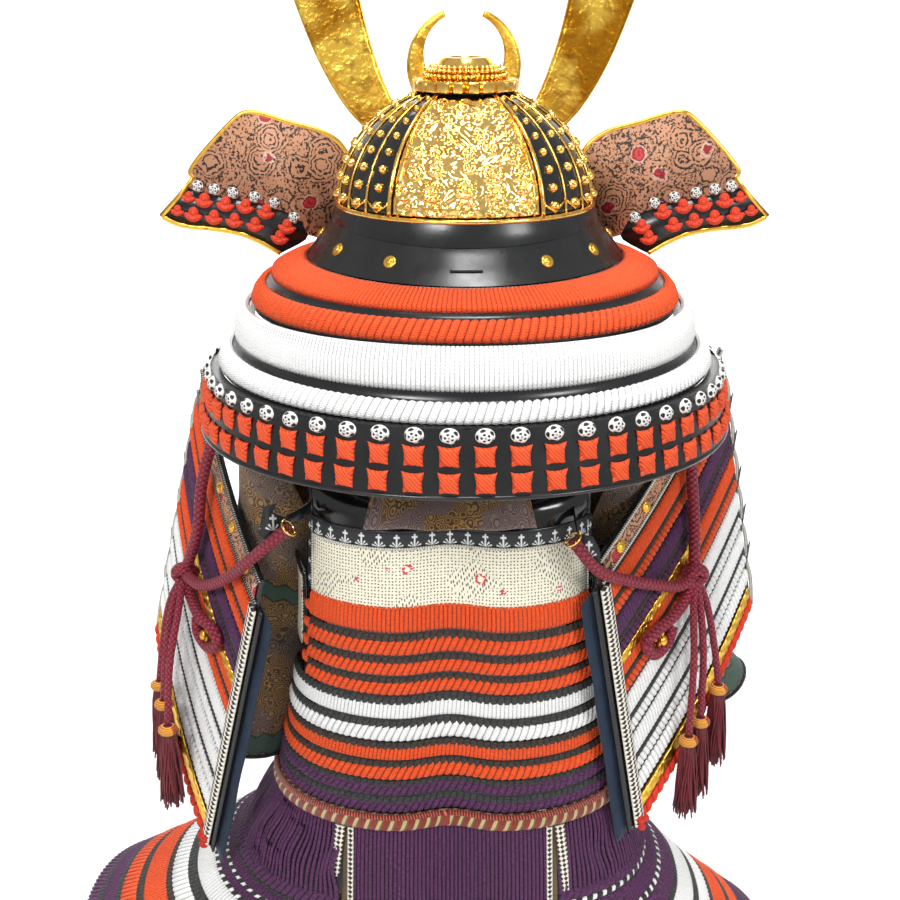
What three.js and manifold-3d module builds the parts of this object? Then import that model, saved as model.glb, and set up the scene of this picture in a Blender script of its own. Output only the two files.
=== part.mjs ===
// Samurai armour: helmet, cuirass, shoulder guards, sleeves and skirt, hollow, as it stands on the wearer.
// Millimetres, +Z up. The armour's back faces -Y and +X is the wearer's right.
// The origin is the middle of the neck opening, level with the top edge of the back plate.
import * as THREE from 'three';
import Module from 'manifold-3d';

const wasm = await Module();
wasm.setup();

// Driving dimensions
const SEAM = 0.4; // gap between two pieces that meet
const PLATE = 2.2; // wall of a lacquered plate
const LACE = 3.2; // how far a row of lacing cords stands out from its lame
const HELMET_X = 10.5; // the helmet's middle, to the right of the torso's
const BOWL_RADIUS = 88.5; // half width of the bowl at its rim
const BOWL_FRONT = 97; // the bowl reaches further at the front
const BOWL_RIM_Z = 220.5;
const BOWL_HEIGHT = 79.5;
const BOWL_HOLE = 27;
const NECK_HALF_DEPTH = 38; // the neck guard ends this far in front of the helmet's middle
const WAIST_Z = -219.5;

const V = (x, y, z) => new THREE.Vector3(x, y, z);
const rad = THREE.MathUtils.degToRad;
const lerp = THREE.MathUtils.lerp;
const steps = (from, to, count) => Array.from({ length: count + 1 }, (unused, i) => lerp(from, to, i / count));

// Colours of the real finishes
const paint = (color, roughness, metalness = 0) => new THREE.MeshStandardMaterial({ color, roughness, metalness });
const LOOK = {
  lacquer: paint(0x101012, 0.25),
  gold: paint(0xe8b840, 0.25, 1),
  hornGold: paint(0xd89a20, 0.4, 1),
  orange: paint(0xf05a18, 0.7),
  white: paint(0xf4f4f0, 0.7),
  purple: paint(0x54285c, 0.75),
  crimson: paint(0x8c1038, 0.7),
  leather: paint(0xe0d8bc, 0.6),
  tan: paint(0xcd8c64, 0.6),
  brocade: paint(0x8a6228, 0.7),
  navy: paint(0x16304c, 0.8),
  rope: paint(0xd8c078, 0.6),
};

const root = new THREE.Group();

// Add a closed solid under a name, with its faces turned outwards.
function add(name, geometry, material, group = root) {
  const mesh = new THREE.Mesh(geometry, material);
  mesh.name = name;
  group.add(mesh);
  return mesh;
}

// Geometry from points and triangles, turned so that its volume is positive.
function solid(points, triangles) {
  let volume = 0;
  for (const [a, b, c] of triangles) volume += points[a].dot(points[b].clone().cross(points[c]));
  const turned = volume < 0 ? triangles.map(([a, b, c]) => [a, c, b]) : triangles;
  const geometry = new THREE.BufferGeometry();
  geometry.setAttribute('position', new THREE.Float32BufferAttribute(points.flatMap((p) => [p.x, p.y, p.z]), 3));
  geometry.setIndex(turned.flat());
  return geometry;
}

// Triangles that close one end: a strip between the loop's outer corners, from its first point to the
// split, and its inner ones, from its last point back to the split.
function endCap(loop, first, split) {
  const triangles = [];
  let a = 0;
  let b = loop.length - 1;
  while (a < split - 1 || b > split) {
    const forward = b === split || (a < split - 1 && loop[a + 1].distanceTo(loop[b]) <= loop[a].distanceTo(loop[b - 1]));
    const next = forward ? a + 1 : b - 1;
    triangles.push([a + first, next + first, b + first]);
    if (forward) a = next;
    else b = next;
  }
  return triangles;
}

// A solid through a row of closed loops that all have the same number of points.
// The row is capped at both ends, or joined end to end when split is 0.
function sweep(loops, split = 0) {
  const closed = split === 0;
  const count = loops[0].length;
  const rows = loops.length;
  const triangles = [];
  for (let i = 0; i < (closed ? rows : rows - 1); i++) {
    const next = ((i + 1) % rows) * count;
    for (let j = 0; j < count; j++) {
      const k = (j + 1) % count;
      triangles.push([i * count + j, i * count + k, next + k], [i * count + j, next + k, next + j]);
    }
  }
  if (!closed) {
    triangles.push(...endCap(loops[0], 0, split).map(([a, b, c]) => [a, c, b]));
    triangles.push(...endCap(loops[rows - 1], (rows - 1) * count, split));
  }
  return solid(loops.flat(), triangles);
}

// A wall: outer rows of points, each moved against the surface's normal to give the inner ones.
function wall(rows, thickness, inside) {
  const last = rows.length - 1;
  const end = rows[0].length - 1;
  const normals = rows.map((row, i) => row.map((p, j) => {
    const along = rows[Math.min(i + 1, last)][j].clone().sub(rows[Math.max(i - 1, 0)][j]);
    const down = row[Math.min(j + 1, end)].clone().sub(row[Math.max(j - 1, 0)]);
    return along.cross(down).normalize();
  }));
  let facing = 0;
  rows.forEach((row, i) => row.forEach((p, j) => { facing += normals[i][j].dot(p.clone().sub(inside)); }));
  const shift = -Math.sign(facing) * thickness;
  return sweep(rows.map((row, i) => [
    ...row,
    ...row.map((p, j) => p.clone().addScaledVector(normals[i][j], shift)).reverse(),
  ]), rows[0].length);
}

// A round tube along a smooth curve through chosen points.
function tube(points, radius, sides, count) {
  const curve = new THREE.CatmullRomCurve3(points.map((p) => V(...p)), false, 'centripetal');
  const disc = new THREE.Shape(Array.from({ length: sides }, (unused, i) => {
    const turn = (2 * Math.PI * i) / sides;
    return new THREE.Vector2(radius * Math.cos(turn), radius * Math.sin(turn));
  }));
  return new THREE.ExtrudeGeometry(disc, { steps: count, extrudePath: curve });
}

// Joining: a closed geometry as a solid of the manifold library, and back.
function toManifold(geometry) {
  const points = geometry.getAttribute('position');
  const source = geometry.index ? Array.from(geometry.index.array) : Array.from(points.array.keys()).slice(0, points.count);
  const known = new Map();
  const vertices = [];
  const merged = source.map((i) => {
    const p = [points.getX(i), points.getY(i), points.getZ(i)];
    const key = p.map((c) => Math.round(c * 1e4)).join();
    if (!known.has(key)) {
      known.set(key, vertices.length / 3);
      vertices.push(...p);
    }
    return known.get(key);
  });
  const triangles = [];
  for (let i = 0; i < merged.length; i += 3) {
    const [a, b, c] = merged.slice(i, i + 3);
    if (a !== b && b !== c && a !== c) triangles.push(a, b, c);
  }
  return new wasm.Manifold(new wasm.Mesh({
    numProp: 3, vertProperties: new Float32Array(vertices), triVerts: new Uint32Array(triangles),
  }));
}

function fromManifold(body) {
  const mesh = body.getMesh();
  const geometry = new THREE.BufferGeometry();
  geometry.setAttribute('position', new THREE.BufferAttribute(new Float32Array(mesh.vertProperties), 3));
  geometry.setIndex(new THREE.BufferAttribute(new Uint32Array(mesh.triVerts), 1));
  return geometry;
}

const join = (...geometries) => fromManifold(geometries.map(toManifold).reduce((a, b) => a.add(b)));

// Helmet
const helmet = new THREE.Group();
helmet.position.x = HELMET_X;
root.add(helmet);

// A point on the helmet: turn 0 is the rear, a quarter turn is the right side.
// back is how far the rear stands from the middle, side the half width, front the reach forwards.
function onHelmet(turn, side, z, back = side, front = side) {
  const depth = Math.cos(turn) > 0 ? back : front;
  return V(side * Math.sin(turn), -depth * Math.cos(turn), z);
}

// Height of the bowl over its rim at a given share of its radius
const domeZ = (share) => BOWL_RIM_Z + BOWL_HEIGHT * Math.sqrt(1 - share * share);
const onBowl = (turn, share, out = 0) => {
  const grow = (radius) => radius * share + out * share;
  return onHelmet(turn, grow(BOWL_RADIUS), domeZ(share) + out * Math.sqrt(1 - share * share), grow(89), grow(BOWL_FRONT));
};

// The bowl's plates: gold panels at back and front, and eight studded plates on each side
const PANEL_HALF = rad(34);
const PLATES_PER_SIDE = 8;
const STUDS = 8;
const STUD_HEIGHT = 3.4;
function makeBowl() {
  const plateTurn = (Math.PI - 2 * PANEL_HALF) / PLATES_PER_SIDE;
  const turns = [];
  const panel = steps(-PANEL_HALF, PANEL_HALF, 6).slice(0, 6);
  const plates = Array.from({ length: 2 * PLATES_PER_SIDE }, (unused, i) => PANEL_HALF + (i * plateTurn) / 2);
  for (const half of [0, Math.PI]) {
    panel.forEach((turn) => turns.push({ turn: turn + half, stud: false }));
    plates.forEach((turn, i) => turns.push({ turn: turn + half, stud: i % 2 === 1 }));
  }
  const top = Math.acos(BOWL_HOLE / BOWL_RADIUS);
  const rises = steps(0, top, 2 * STUDS);
  return sweep(turns.map(({ turn, stud }) => [
    ...rises.map((rise, j) => onBowl(turn, Math.cos(rise), stud && j % 2 === 1 && j < rises.length - 2 ? STUD_HEIGHT : 0)),
    ...steps(top, 0, 6).map((rise) => onBowl(turn, Math.cos(rise), -PLATE)),
  ]));
}
add('bowl', makeBowl(), LOOK.lacquer, helmet);

// Gold relief panel on the bowl's back, with a raised rib down each side
const RELIEF = 1.8;
function makeRelief() {
  const top = Math.acos(0.415);
  const turns = steps(-PANEL_HALF, PANEL_HALF, 6);
  return sweep(turns.map((turn, i) => {
    const rib = i === 0 || i === turns.length - 1 ? 1 : 0;
    const outer = steps(rad(2), top, 8).map((rise, j) => {
      const swell = rib ? 1 : 0.8 * ((i + j) % 2);
      return onBowl(turn, Math.cos(rise), SEAM + RELIEF + swell);
    });
    const inner = steps(top, rad(2), 8).map((rise) => onBowl(turn, Math.cos(rise), SEAM + 0.2));
    return [...outer, ...inner];
  }), 9);
}
add('relief_panel', makeRelief(), LOOK.gold, helmet);

// Crown ring: three stacked rings round an open hole; radius and height of each corner of the profile
const CROWN_Z = domeZ(BOWL_HOLE / BOWL_RADIUS) + SEAM;
const CROWN = [
  { r: 10, z: 0 }, { r: 36.5, z: 0 }, { r: 36.5, z: 7 }, { r: 27, z: 8 }, { r: 28, z: 11 }, { r: 26, z: 14 },
  { r: 18, z: 15 }, { r: 17.5, z: 19 }, { r: 14, z: 21.5 }, { r: 10, z: 20.5 }, { r: 10, z: 0 },
];
const crownLoops = steps(0, 2 * Math.PI, 24).slice(0, 24).map((turn, i) => CROWN.slice(0, -1).map(({ r, z }, j) => {
  const tooth = (j === 1 || j === 2) && i % 2 === 0 ? -2 : 0;
  return V((r + tooth) * Math.cos(turn), (r + tooth) * Math.sin(turn), CROWN_Z + z);
}));
add('crown_ring', sweep(crownLoops), LOOK.gold, helmet);

// Brow band: a near vertical band round the bowl's foot, taller at the back
const BAND_TURNS = 28;
function bandLoop(turn) {
  const back = Math.max(0, Math.cos(turn));
  const low = 209.8 - 5.3 * back * back;
  const high = BOWL_RIM_Z - SEAM;
  const ring = (radius, z) => onHelmet(turn, radius, z, radius + 0.5, radius + 8.5);
  return [
    ring(BOWL_RADIUS + 1.6, high), ring(93.5, low), ring(93.5 - PLATE, low), ring(BOWL_RADIUS - 1.4, high),
  ];
}
add('brow_band', sweep(steps(0, 2 * Math.PI, BAND_TURNS).slice(0, BAND_TURNS).map(bandLoop)), LOOK.lacquer, helmet);

// Visor: a shallow peak under the front of the brow band
function makeVisor() {
  const spread = rad(58);
  return sweep(steps(Math.PI - spread, Math.PI + spread, 12).map((turn) => {
    const reach = 34 * Math.sqrt(Math.max(0.02, 1 - ((turn - Math.PI) / spread) ** 2));
    const ring = (radius, z) => onHelmet(turn, radius, z, radius, radius + 8.5);
    return [
      ring(92.8, 209.8 - SEAM), ring(93.5 + reach, 206 - reach * 0.35),
      ring(93.5 + reach, 206 - PLATE - reach * 0.35), ring(91, 209.8 - SEAM - PLATE),
    ];
  }), 2);
}
add('visor', makeVisor(), LOOK.lacquer, helmet);

// Neck guard: a plate and three laced lames, each a ring open at the front.
// Each row is a corner of the outer profile: half width, height at the sides, height at the back.
const NECK = {
  neck_plate: {
    look: LOOK.lacquer, turns: 20, inner: 2,
    rows: [
      { r: 93.6, side: 209.4, back: 204.1 }, { r: 102.5, side: 197.5, back: 194 }, { r: 112, side: 185.4, back: 183.4 },
    ],
  },
  neck_lame_1: {
    look: LOOK.orange, turns: 22, inner: 4,
    rows: [
      { r: 106, side: 183.4, back: 181 }, { r: 113.5, side: 184.4, back: 182 }, { r: 136, side: 174.8, back: 174 },
      { r: 136.5, side: 171, back: 171 }, { r: 139, side: 167.6, back: 168.6 }, { r: 143, side: 167.4, back: 169 },
      { r: 150.5, side: 153.5, back: 156.5 }, { r: 150.4, side: 149.5, back: 152.5 },
    ],
  },
  neck_lame_2: {
    look: LOOK.white, turns: 24, inner: 2,
    rows: [
      { r: 153.5, side: 152, back: 155.5 }, { r: 160, side: 150, back: 154 }, { r: 163.4, side: 130, back: 129.5 },
      { r: 162.4, side: 128, back: 127.5 }, { r: 164.4, side: 123.8, back: 121.6 }, { r: 168.5, side: 124, back: 122 },
      { r: 175.3, side: 113.5, back: 113.6 }, { r: 174.6, side: 107.6, back: 108.6 },
    ],
  },
};

// Turn at which a ring of this half width reaches the plane where the neck guard ends
const endTurn = (radius, reach = NECK_HALF_DEPTH) => Math.PI / 2 + Math.asin(reach / radius);

// Inner corners of a plain wall behind a profile, from its last corner back to its first
function plainInside(rows, count) {
  const at = (share) => {
    const place = share * (rows.length - 1);
    const low = Math.min(Math.floor(place), rows.length - 2);
    const mix = (key) => lerp(rows[low][key], rows[low + 1][key], place - low);
    return { r: mix('r'), side: mix('side'), back: mix('back') };
  };
  const first = rows[0];
  const last = rows[rows.length - 1];
  const slope = Math.atan2(first.side - last.side, last.r - first.r);
  const inward = PLATE + (rows.length > 3 ? LACE : 0);
  return steps(1, 0, count - 1).map((share) => {
    const row = at(share);
    const depth = share === 0 || share === 1 ? PLATE : inward;
    return {
      r: row.r - depth * Math.sin(slope), side: row.side - depth * Math.cos(slope), back: row.back - depth * Math.cos(slope),
    };
  });
}

function neckPoint(row, part, reach = NECK_HALF_DEPTH) {
  const turn = part * endTurn(row.r, reach);
  const back = Math.max(0, Math.cos(turn)) ** 2;
  return onHelmet(turn, row.r, lerp(row.side, row.back, back));
}

for (const [name, lame] of Object.entries(NECK)) {
  const loop = [...lame.rows, ...plainInside(lame.rows, lame.inner)];
  const loops = steps(-1, 1, lame.turns).map((part) => loop.map((row) => neckPoint(row, part)));
  add(name, sweep(loops, lame.rows.length), lame.look, helmet);
}

// The lowest neck lame carries a row of round knots and two rows of square cross knots.
const KNOT_COLUMNS = 30;
const KNOT_OUT = 2.6;
const FLANGE = 7.3; // its top edge turns inwards to meet the lame above
const KNOT_ROWS = [
  { side: 108.5, back: 110.6, out: 0 }, { side: 93.5, back: 95.5, out: 0 },
  { side: 91.5, back: 93.5, out: 1 }, { side: 82, back: 84, out: 1 }, { side: 79.8, back: 81.8, out: 0 },
  { side: 77.6, back: 79.6, out: 1 }, { side: 68.5, back: 71, out: 1 }, { side: 64.6, back: 68, out: 0 },
];
function makeKnotLame() {
  const radiusAt = (z) => 182.4 + ((108.5 - z) * 8.2) / 43.9;
  const parts = [];
  for (let column = 0; column < KNOT_COLUMNS; column++) {
    for (const [share, raised] of [[0, 0], [0.5, 1]]) {
      parts.push({ part: -1 + (2 * (column + share)) / KNOT_COLUMNS, raised });
    }
  }
  parts.push({ part: 1, raised: 0 });
  return sweep(parts.map(({ part, raised }) => {
    const turn = part * endTurn(186);
    const corner = ({ side, back }, out) => onHelmet(
      turn, radiusAt(side) + out, lerp(side, back, Math.max(0, Math.cos(turn)) ** 2));
    const outer = KNOT_ROWS.map((row) => corner(row, KNOT_OUT * row.out * raised));
    const [top, low] = [KNOT_ROWS[0], KNOT_ROWS[KNOT_ROWS.length - 1]];
    const flange = { side: top.side - PLATE, back: top.back - PLATE };
    return [...outer, corner(low, -PLATE), corner(flange, -PLATE), corner(flange, -FLANGE), corner(top, -FLANGE)];
  }), KNOT_ROWS.length);
}
add('neck_lame_3', makeKnotLame(), LOOK.lacquer, helmet);

// Turnbacks: the wings at the front ends of the neck guard, leaned back at the top.
// The outline starts at the brow band and runs round the outside, in the helmet's own X and Z.
const WING_Y = NECK_HALF_DEPTH + SEAM;
const WING_OUTLINE = [
  { x: -88.5, z: 254 }, { x: -118, z: 268 }, { x: -150, z: 277 }, { x: -158, z: 274 }, { x: -197, z: 232.5 },
  { x: -197.5, z: 229.5 }, { x: -221, z: 203.5 }, { x: -218, z: 200.5 }, { x: -183, z: 193 }, { x: -152, z: 184 },
  { x: -126, z: 172.5 }, { x: -112.5, z: 182 }, { x: -104, z: 192 }, { x: -94.6, z: 211 },
];
function makeWing(side) {
  const shape = new THREE.Shape(WING_OUTLINE.map(({ x, z }) => new THREE.Vector2(-side * x, z)));
  const plate = new THREE.ExtrudeGeometry(shape, { depth: PLATE + 0.6, bevelEnabled: false });
  plate.rotateX(Math.PI / 2);
  plate.translate(0, WING_Y + PLATE + 0.6, 0);
  return plate;
}
for (const [name, side] of [['turnback_left', -1], ['turnback_right', 1]]) add(name, makeWing(side), LOOK.tan, helmet);

// Crest base: a small gold bracket on the visor, behind the crest and horns
const CREST_Y = 112;
const CREST_Z = { low: 206.6, top: 229.2 };
const base = new THREE.BoxGeometry(46, 6, CREST_Z.top - CREST_Z.low);
base.translate(0, CREST_Y, (CREST_Z.top + CREST_Z.low) / 2);
add('crest_base', base, LOOK.gold, helmet);

// Crescent crest: a ring segment, thick below and pointed above, on a short stem
function makeCrescent() {
  const outer = { z: 305, r: 42.3 };
  const inner = { z: 313.5, r: 30.4 };
  const tip = rad(69);
  const crescent = new THREE.Shape();
  const arc = (circle, from, to, count) => steps(from, to, count).map((turn) => new THREE.Vector2(
    circle.r * Math.cos(turn), circle.z + circle.r * Math.sin(turn)));
  crescent.setFromPoints([
    new THREE.Vector2(-6, 229.6), new THREE.Vector2(6, 229.6),
    ...arc(outer, rad(-81), tip, 10), ...arc(inner, rad(60), rad(-240), 14), ...arc(outer, Math.PI - tip, rad(261), 10),
  ]);
  const plate = new THREE.ExtrudeGeometry(crescent, { depth: 2.4, bevelEnabled: false });
  plate.rotateX(Math.PI / 2);
  plate.translate(0, CREST_Y + 1.2, 0);
  return plate;
}
add('crescent', makeCrescent(), LOOK.hornGold, helmet);

// Horns: flat blades that widen upwards to a notched tip. x is from the helmet's middle, on the right side.
const HORN_OUTLINE = [
  { x: 12, z: 229.6 }, { x: 22, z: 229.6 }, { x: 40, z: 236 }, { x: 61, z: 249 }, { x: 84, z: 268 },
  { x: 106, z: 302 }, { x: 126.5, z: 353 }, { x: 142, z: 405 }, { x: 152, z: 462 }, { x: 128, z: 448 },
  { x: 117, z: 436 }, { x: 108, z: 456 }, { x: 92, z: 478 }, { x: 89, z: 420 }, { x: 80, z: 361 },
  { x: 70, z: 318 }, { x: 56, z: 281 }, { x: 40, z: 256 }, { x: 24, z: 243 }, { x: 12, z: 238 },
];
function makeHorn(side) {
  const shape = new THREE.Shape(HORN_OUTLINE.map(({ x, z }) => new THREE.Vector2(side * x, z)));
  const plate = new THREE.ExtrudeGeometry(shape, { depth: 2, bevelEnabled: false });
  plate.rotateX(Math.PI / 2);
  plate.translate(0, CREST_Y + 1, 0);
  return plate;
}
for (const [name, side] of [['horn_left', -1], ['horn_right', 1]]) add(name, makeHorn(side), LOOK.hornGold, helmet);

// Cuirass
// Half width, depth at the back and at the front, by height. The body widens towards the waist.
const BODY = [
  { z: 0, side: 110, back: 77, front: 66 }, { z: -56, side: 112, back: 79, front: 74 },
  { z: -125, side: 118, back: 83, front: 84 }, { z: -160, side: 123, back: 89, front: 90 },
  { z: -188, side: 128, back: 96, front: 96 }, { z: -210, side: 132, back: 101, front: 100 },
  { z: -226, side: 133, back: 102, front: 101 },
];
function bodyAt(z) {
  let i = 0;
  while (i < BODY.length - 2 && z < BODY[i + 1].z) i++;
  const share = (z - BODY[i].z) / (BODY[i + 1].z - BODY[i].z);
  const mix = (key) => lerp(BODY[i][key], BODY[i + 1][key], share);
  return { side: mix('side'), back: mix('back'), front: mix('front') };
}

// A point on the body: turn 0 is the spine, a quarter turn is the right side.
// The section is a squared oval, with a shallow dent along the spine.
const SQUARE = 0.8;
const DENT = { depth: 11, width: 27 };
function onBody(turn, z, out = 0) {
  const { side, back, front } = bodyAt(z);
  const s = Math.sin(turn);
  const c = Math.cos(turn);
  const x = (side + out) * Math.sign(s) * Math.abs(s) ** SQUARE;
  const depth = (c > 0 ? back : front) + out;
  const dent = c > 0 ? DENT.depth * Math.exp(-((x / DENT.width) ** 2)) : 0;
  return V(x, -depth * Math.sign(c) * Math.abs(c) ** SQUARE + dent, z);
}

// A laced wall round the body: rows give each corner's height and how far it stands out
function bodyWall(rows, turns, closed) {
  const top = rows[0].z;
  const low = rows[rows.length - 1].z;
  const outer = (turn) => rows.map(({ z, out }) => onBody(turn, z, out));
  const inner = (turn) => [onBody(turn, low, -PLATE), onBody(turn, top, -PLATE)];
  return sweep(turns.map((turn) => [...outer(turn), ...inner(turn)]), closed ? 0 : rows.length);
}

// Two rows of cords on a lame: the upper upright, the lower slanting, with a groove below each
const lacedRows = (top, middle, low) => [
  { z: top, out: LACE - 0.6 }, { z: middle + 2.5, out: LACE }, { z: middle + 0.5, out: 0.6 },
  { z: middle - 1.5, out: LACE }, { z: low + 2.5, out: LACE }, { z: low, out: 0.6 },
];

const BACK_HALF = rad(66); // the back plate and back lames end at the armholes
const halfTurns = [7, 14, 22, 32, 43, 54, 66, 78, 90, 108, 126, 144, 162].map(rad); // closer together at the spine
const mirrored = (turns) => [...turns.map((turn) => -turn).reverse(), 0, ...turns];
const backTurns = mirrored(halfTurns.filter((turn) => turn <= BACK_HALF));
const frontTurns = steps(Math.PI - rad(52), Math.PI + rad(52), 10);
const ringTurns = [...mirrored(halfTurns), Math.PI];

const flatRows = (top, low) => [{ z: top, out: 0 }, { z: (top + low) / 2, out: 0 }, { z: low, out: 0 }];
add('back_plate', bodyWall(flatRows(0, -56), backTurns, false), LOOK.leather);
add('back_lame_1', bodyWall(lacedRows(-56 - SEAM, -76, -98), backTurns, false), LOOK.orange);
add('back_lame_2', bodyWall(lacedRows(-98 - SEAM, -111, -125), backTurns, false), LOOK.orange);
const chestRows = [{ z: -34, out: 0 }, { z: -62, out: 0 }, ...lacedRows(-63, -76, -98), ...lacedRows(-99, -111, -125)];
add('chest_plate', bodyWall(chestRows, frontTurns, false), LOOK.leather);
const BODY_LAMES = [
  { name: 'body_lame_1', top: -125, middle: -143, low: -160, look: LOOK.white },
  { name: 'body_lame_2', top: -160, middle: -174, low: -188, look: LOOK.orange },
  { name: 'body_lame_3', top: -188, middle: -199, low: -212.8, look: LOOK.purple },
];
for (const { name, top, middle, low, look } of BODY_LAMES) {
  add(name, bodyWall(lacedRows(top - SEAM, middle, low), ringTurns, true), look);
}

// Waist rope: a thick ring round the foot of the body
const ROPE_RADIUS = 6.3;
const ropeLoops = ringTurns.map((turn) => {
  const middle = onBody(turn, WAIST_Z, 0);
  const outward = onBody(turn, WAIST_Z, 10).sub(middle).normalize();
  middle.addScaledVector(outward, 1);
  return steps(0, 5, 5).map((side) => rad(30 + 60 * side)).map((a) => middle.clone()
    .addScaledVector(outward, ROPE_RADIUS * Math.cos(a)).add(V(0, 0, ROPE_RADIUS * Math.sin(a))));
});
add('waist_rope', sweep(ropeLoops), LOOK.rope);

// Shoulder straps: wide plates from the back plate over the shoulder to the chest plate
const STRAP_PATH = [
  { y: -72, z: 1.1 }, { y: -67, z: 16 }, { y: -52, z: 30 }, { y: -28, z: 39 }, { y: 2, z: 40 }, { y: 30, z: 32 },
  { y: 50, z: 14 }, { y: 61, z: -8 }, { y: 66, z: -33 },
];
const STRAP = { inner: 50, outer: 100, fall: 7 };
function makeStrap(side) {
  const last = STRAP_PATH.length - 1;
  // The strap's two ends follow the edges of the plates that they stand on.
  const plateY = (x, { z }, front) => {
    const turn = Math.asin((x / bodyAt(z).side) ** (1 / SQUARE));
    return onBody(front ? Math.PI - turn : turn, z).y;
  };
  const rows = steps(STRAP.inner, STRAP.outer, 3).map((x, i) => STRAP_PATH.map(({ y, z }, j) => {
    const front = j > last / 2;
    const end = STRAP_PATH[front ? last : 0];
    const near = Math.max(0, 1 - (front ? last - j : j) / 3);
    const fall = j === 0 || j === last ? 0 : STRAP.fall * (i / 3) ** 2;
    return V(side * x, y + (plateY(x, end, front) - end.y) * near, z - fall);
  }));
  return wall(rows, PLATE, V(side * 75, 0, -60));
}
for (const [name, side] of [['strap_left', -1], ['strap_right', 1]]) add(name, makeStrap(side), LOOK.lacquer);

// Neck pad: a standing band of brocade between the straps, at the back of the neck
const padRows = steps(-rad(60), rad(60), 12).map((turn) => [
  V(57.2 * Math.sin(turn), -60 * Math.cos(turn) - 2, 44), V(57.2 * Math.sin(turn), -58 * Math.cos(turn), 24),
  V(57.2 * Math.sin(turn), -60 * Math.cos(turn) - 3, 7),
]);
add('neck_pad', wall(padRows, 3, V(0, 0, 25)), LOOK.brocade);

// Shoulder guards
// corner is the rear top corner; along runs to the front end of a lame, down to the foot of the guard.
const GUARD = {
  left: { corner: V(-136, -60, -43), along: V(-58, 140, 121), down: V(-54, 15, -233), bow: 6 },
  right: { corner: V(106, -60, -27), along: V(106, 140, 121), down: V(36, -10, -216), bow: 6 },
};
// Each lame's foot, as a share of the way down, and its lacing
const GUARD_LAMES = [
  { low: 0.245, look: LOOK.orange }, { low: 0.385, look: LOOK.purple }, { low: 0.525, look: LOOK.orange },
  { low: 0.675, look: LOOK.white }, { low: 0.825, look: LOOK.white }, { low: 1, look: LOOK.white },
];
const CAP_LOW = 0.105;

// A point on a guard: along and down as shares of its two edges, out from its bowed face
function onGuard({ corner, along, down, bow }, s, t, out) {
  const normal = along.clone().cross(down).normalize();
  if (normal.y > 0) normal.negate();
  const arch = bow * (1 - (2 * s - 1) ** 2);
  return corner.clone().addScaledVector(along, s).addScaledVector(down, t).addScaledVector(normal, arch + out);
}

// Two short ties hang each guard from the top of its shoulder strap: where along the cap, and where on the strap
const TIES = [{ s: 0.53, y: -10, z: 34.9 }, { s: 0.74, y: 20, z: 31.4 }];
const GUARD_STEPS = 6;
function guardWall(guard, rows, thickness = PLATE) {
  const low = rows[rows.length - 1].t;
  return sweep(steps(0, 1, GUARD_STEPS).map((s) => [
    ...rows.map(({ t, out }) => onGuard(guard, s, t, out)),
    onGuard(guard, s, low, -thickness), onGuard(guard, s, rows[0].t, -thickness),
  ]), rows.length);
}
for (const [side, guard] of Object.entries(GUARD)) {
  const reach = guard.down.length();
  const cap = guardWall(guard, [
    { t: 0, out: 0 }, { t: 0.02, out: 1.2 }, { t: CAP_LOW - 0.02, out: 1.2 }, { t: CAP_LOW, out: 0 },
  ]);
  const away = Math.sign(guard.corner.x);
  const ties = TIES.map(({ s, y, z }) => {
    const start = onGuard(guard, s, 0.03, -0.6);
    const turn = start.clone().lerp(V(away * 100, y, z + 16), 0.1).add(V(0, 0, 22));
    return tube([start, turn, V(away * 101, y, z + 12), V(away * 95, y, z)].map((p) => p.toArray()), 2.4, 6, 5);
  });
  add(`guard_cap_${side}`, join(cap, ...ties), LOOK.tan);
  let top = CAP_LOW;
  GUARD_LAMES.forEach(({ low, look }, i) => {
    const from = top + SEAM / reach;
    const groove = lerp(from, low, 0.6);
    const bit = 1.5 / reach;
    add(`guard_lame_${side}_${i + 1}`, guardWall(guard, [
      { t: from, out: LACE - 0.6 }, { t: groove - bit, out: LACE }, { t: groove, out: 0.5 },
      { t: groove + bit, out: LACE }, { t: low - 3 * bit, out: LACE }, { t: low, out: 0.5 },
    ]), look);
    top = low;
  });
  // The navy lining lies behind the lames and shows past their rear ends.
  const liningRows = steps(-0.06, 0.9, GUARD_STEPS).map((s) => steps(0.1, 0.99, 4).map((t) => {
    const flare = Math.max(0, 0.25 - s) * 10;
    return onGuard(guard, s, t, -PLATE - SEAM - flare);
  }));
  const behind = onGuard(guard, 0.5, 0.5, -60);
  add(`guard_lining_${side}`, wall(liningRows, 1, behind), LOOK.navy);
}

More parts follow.
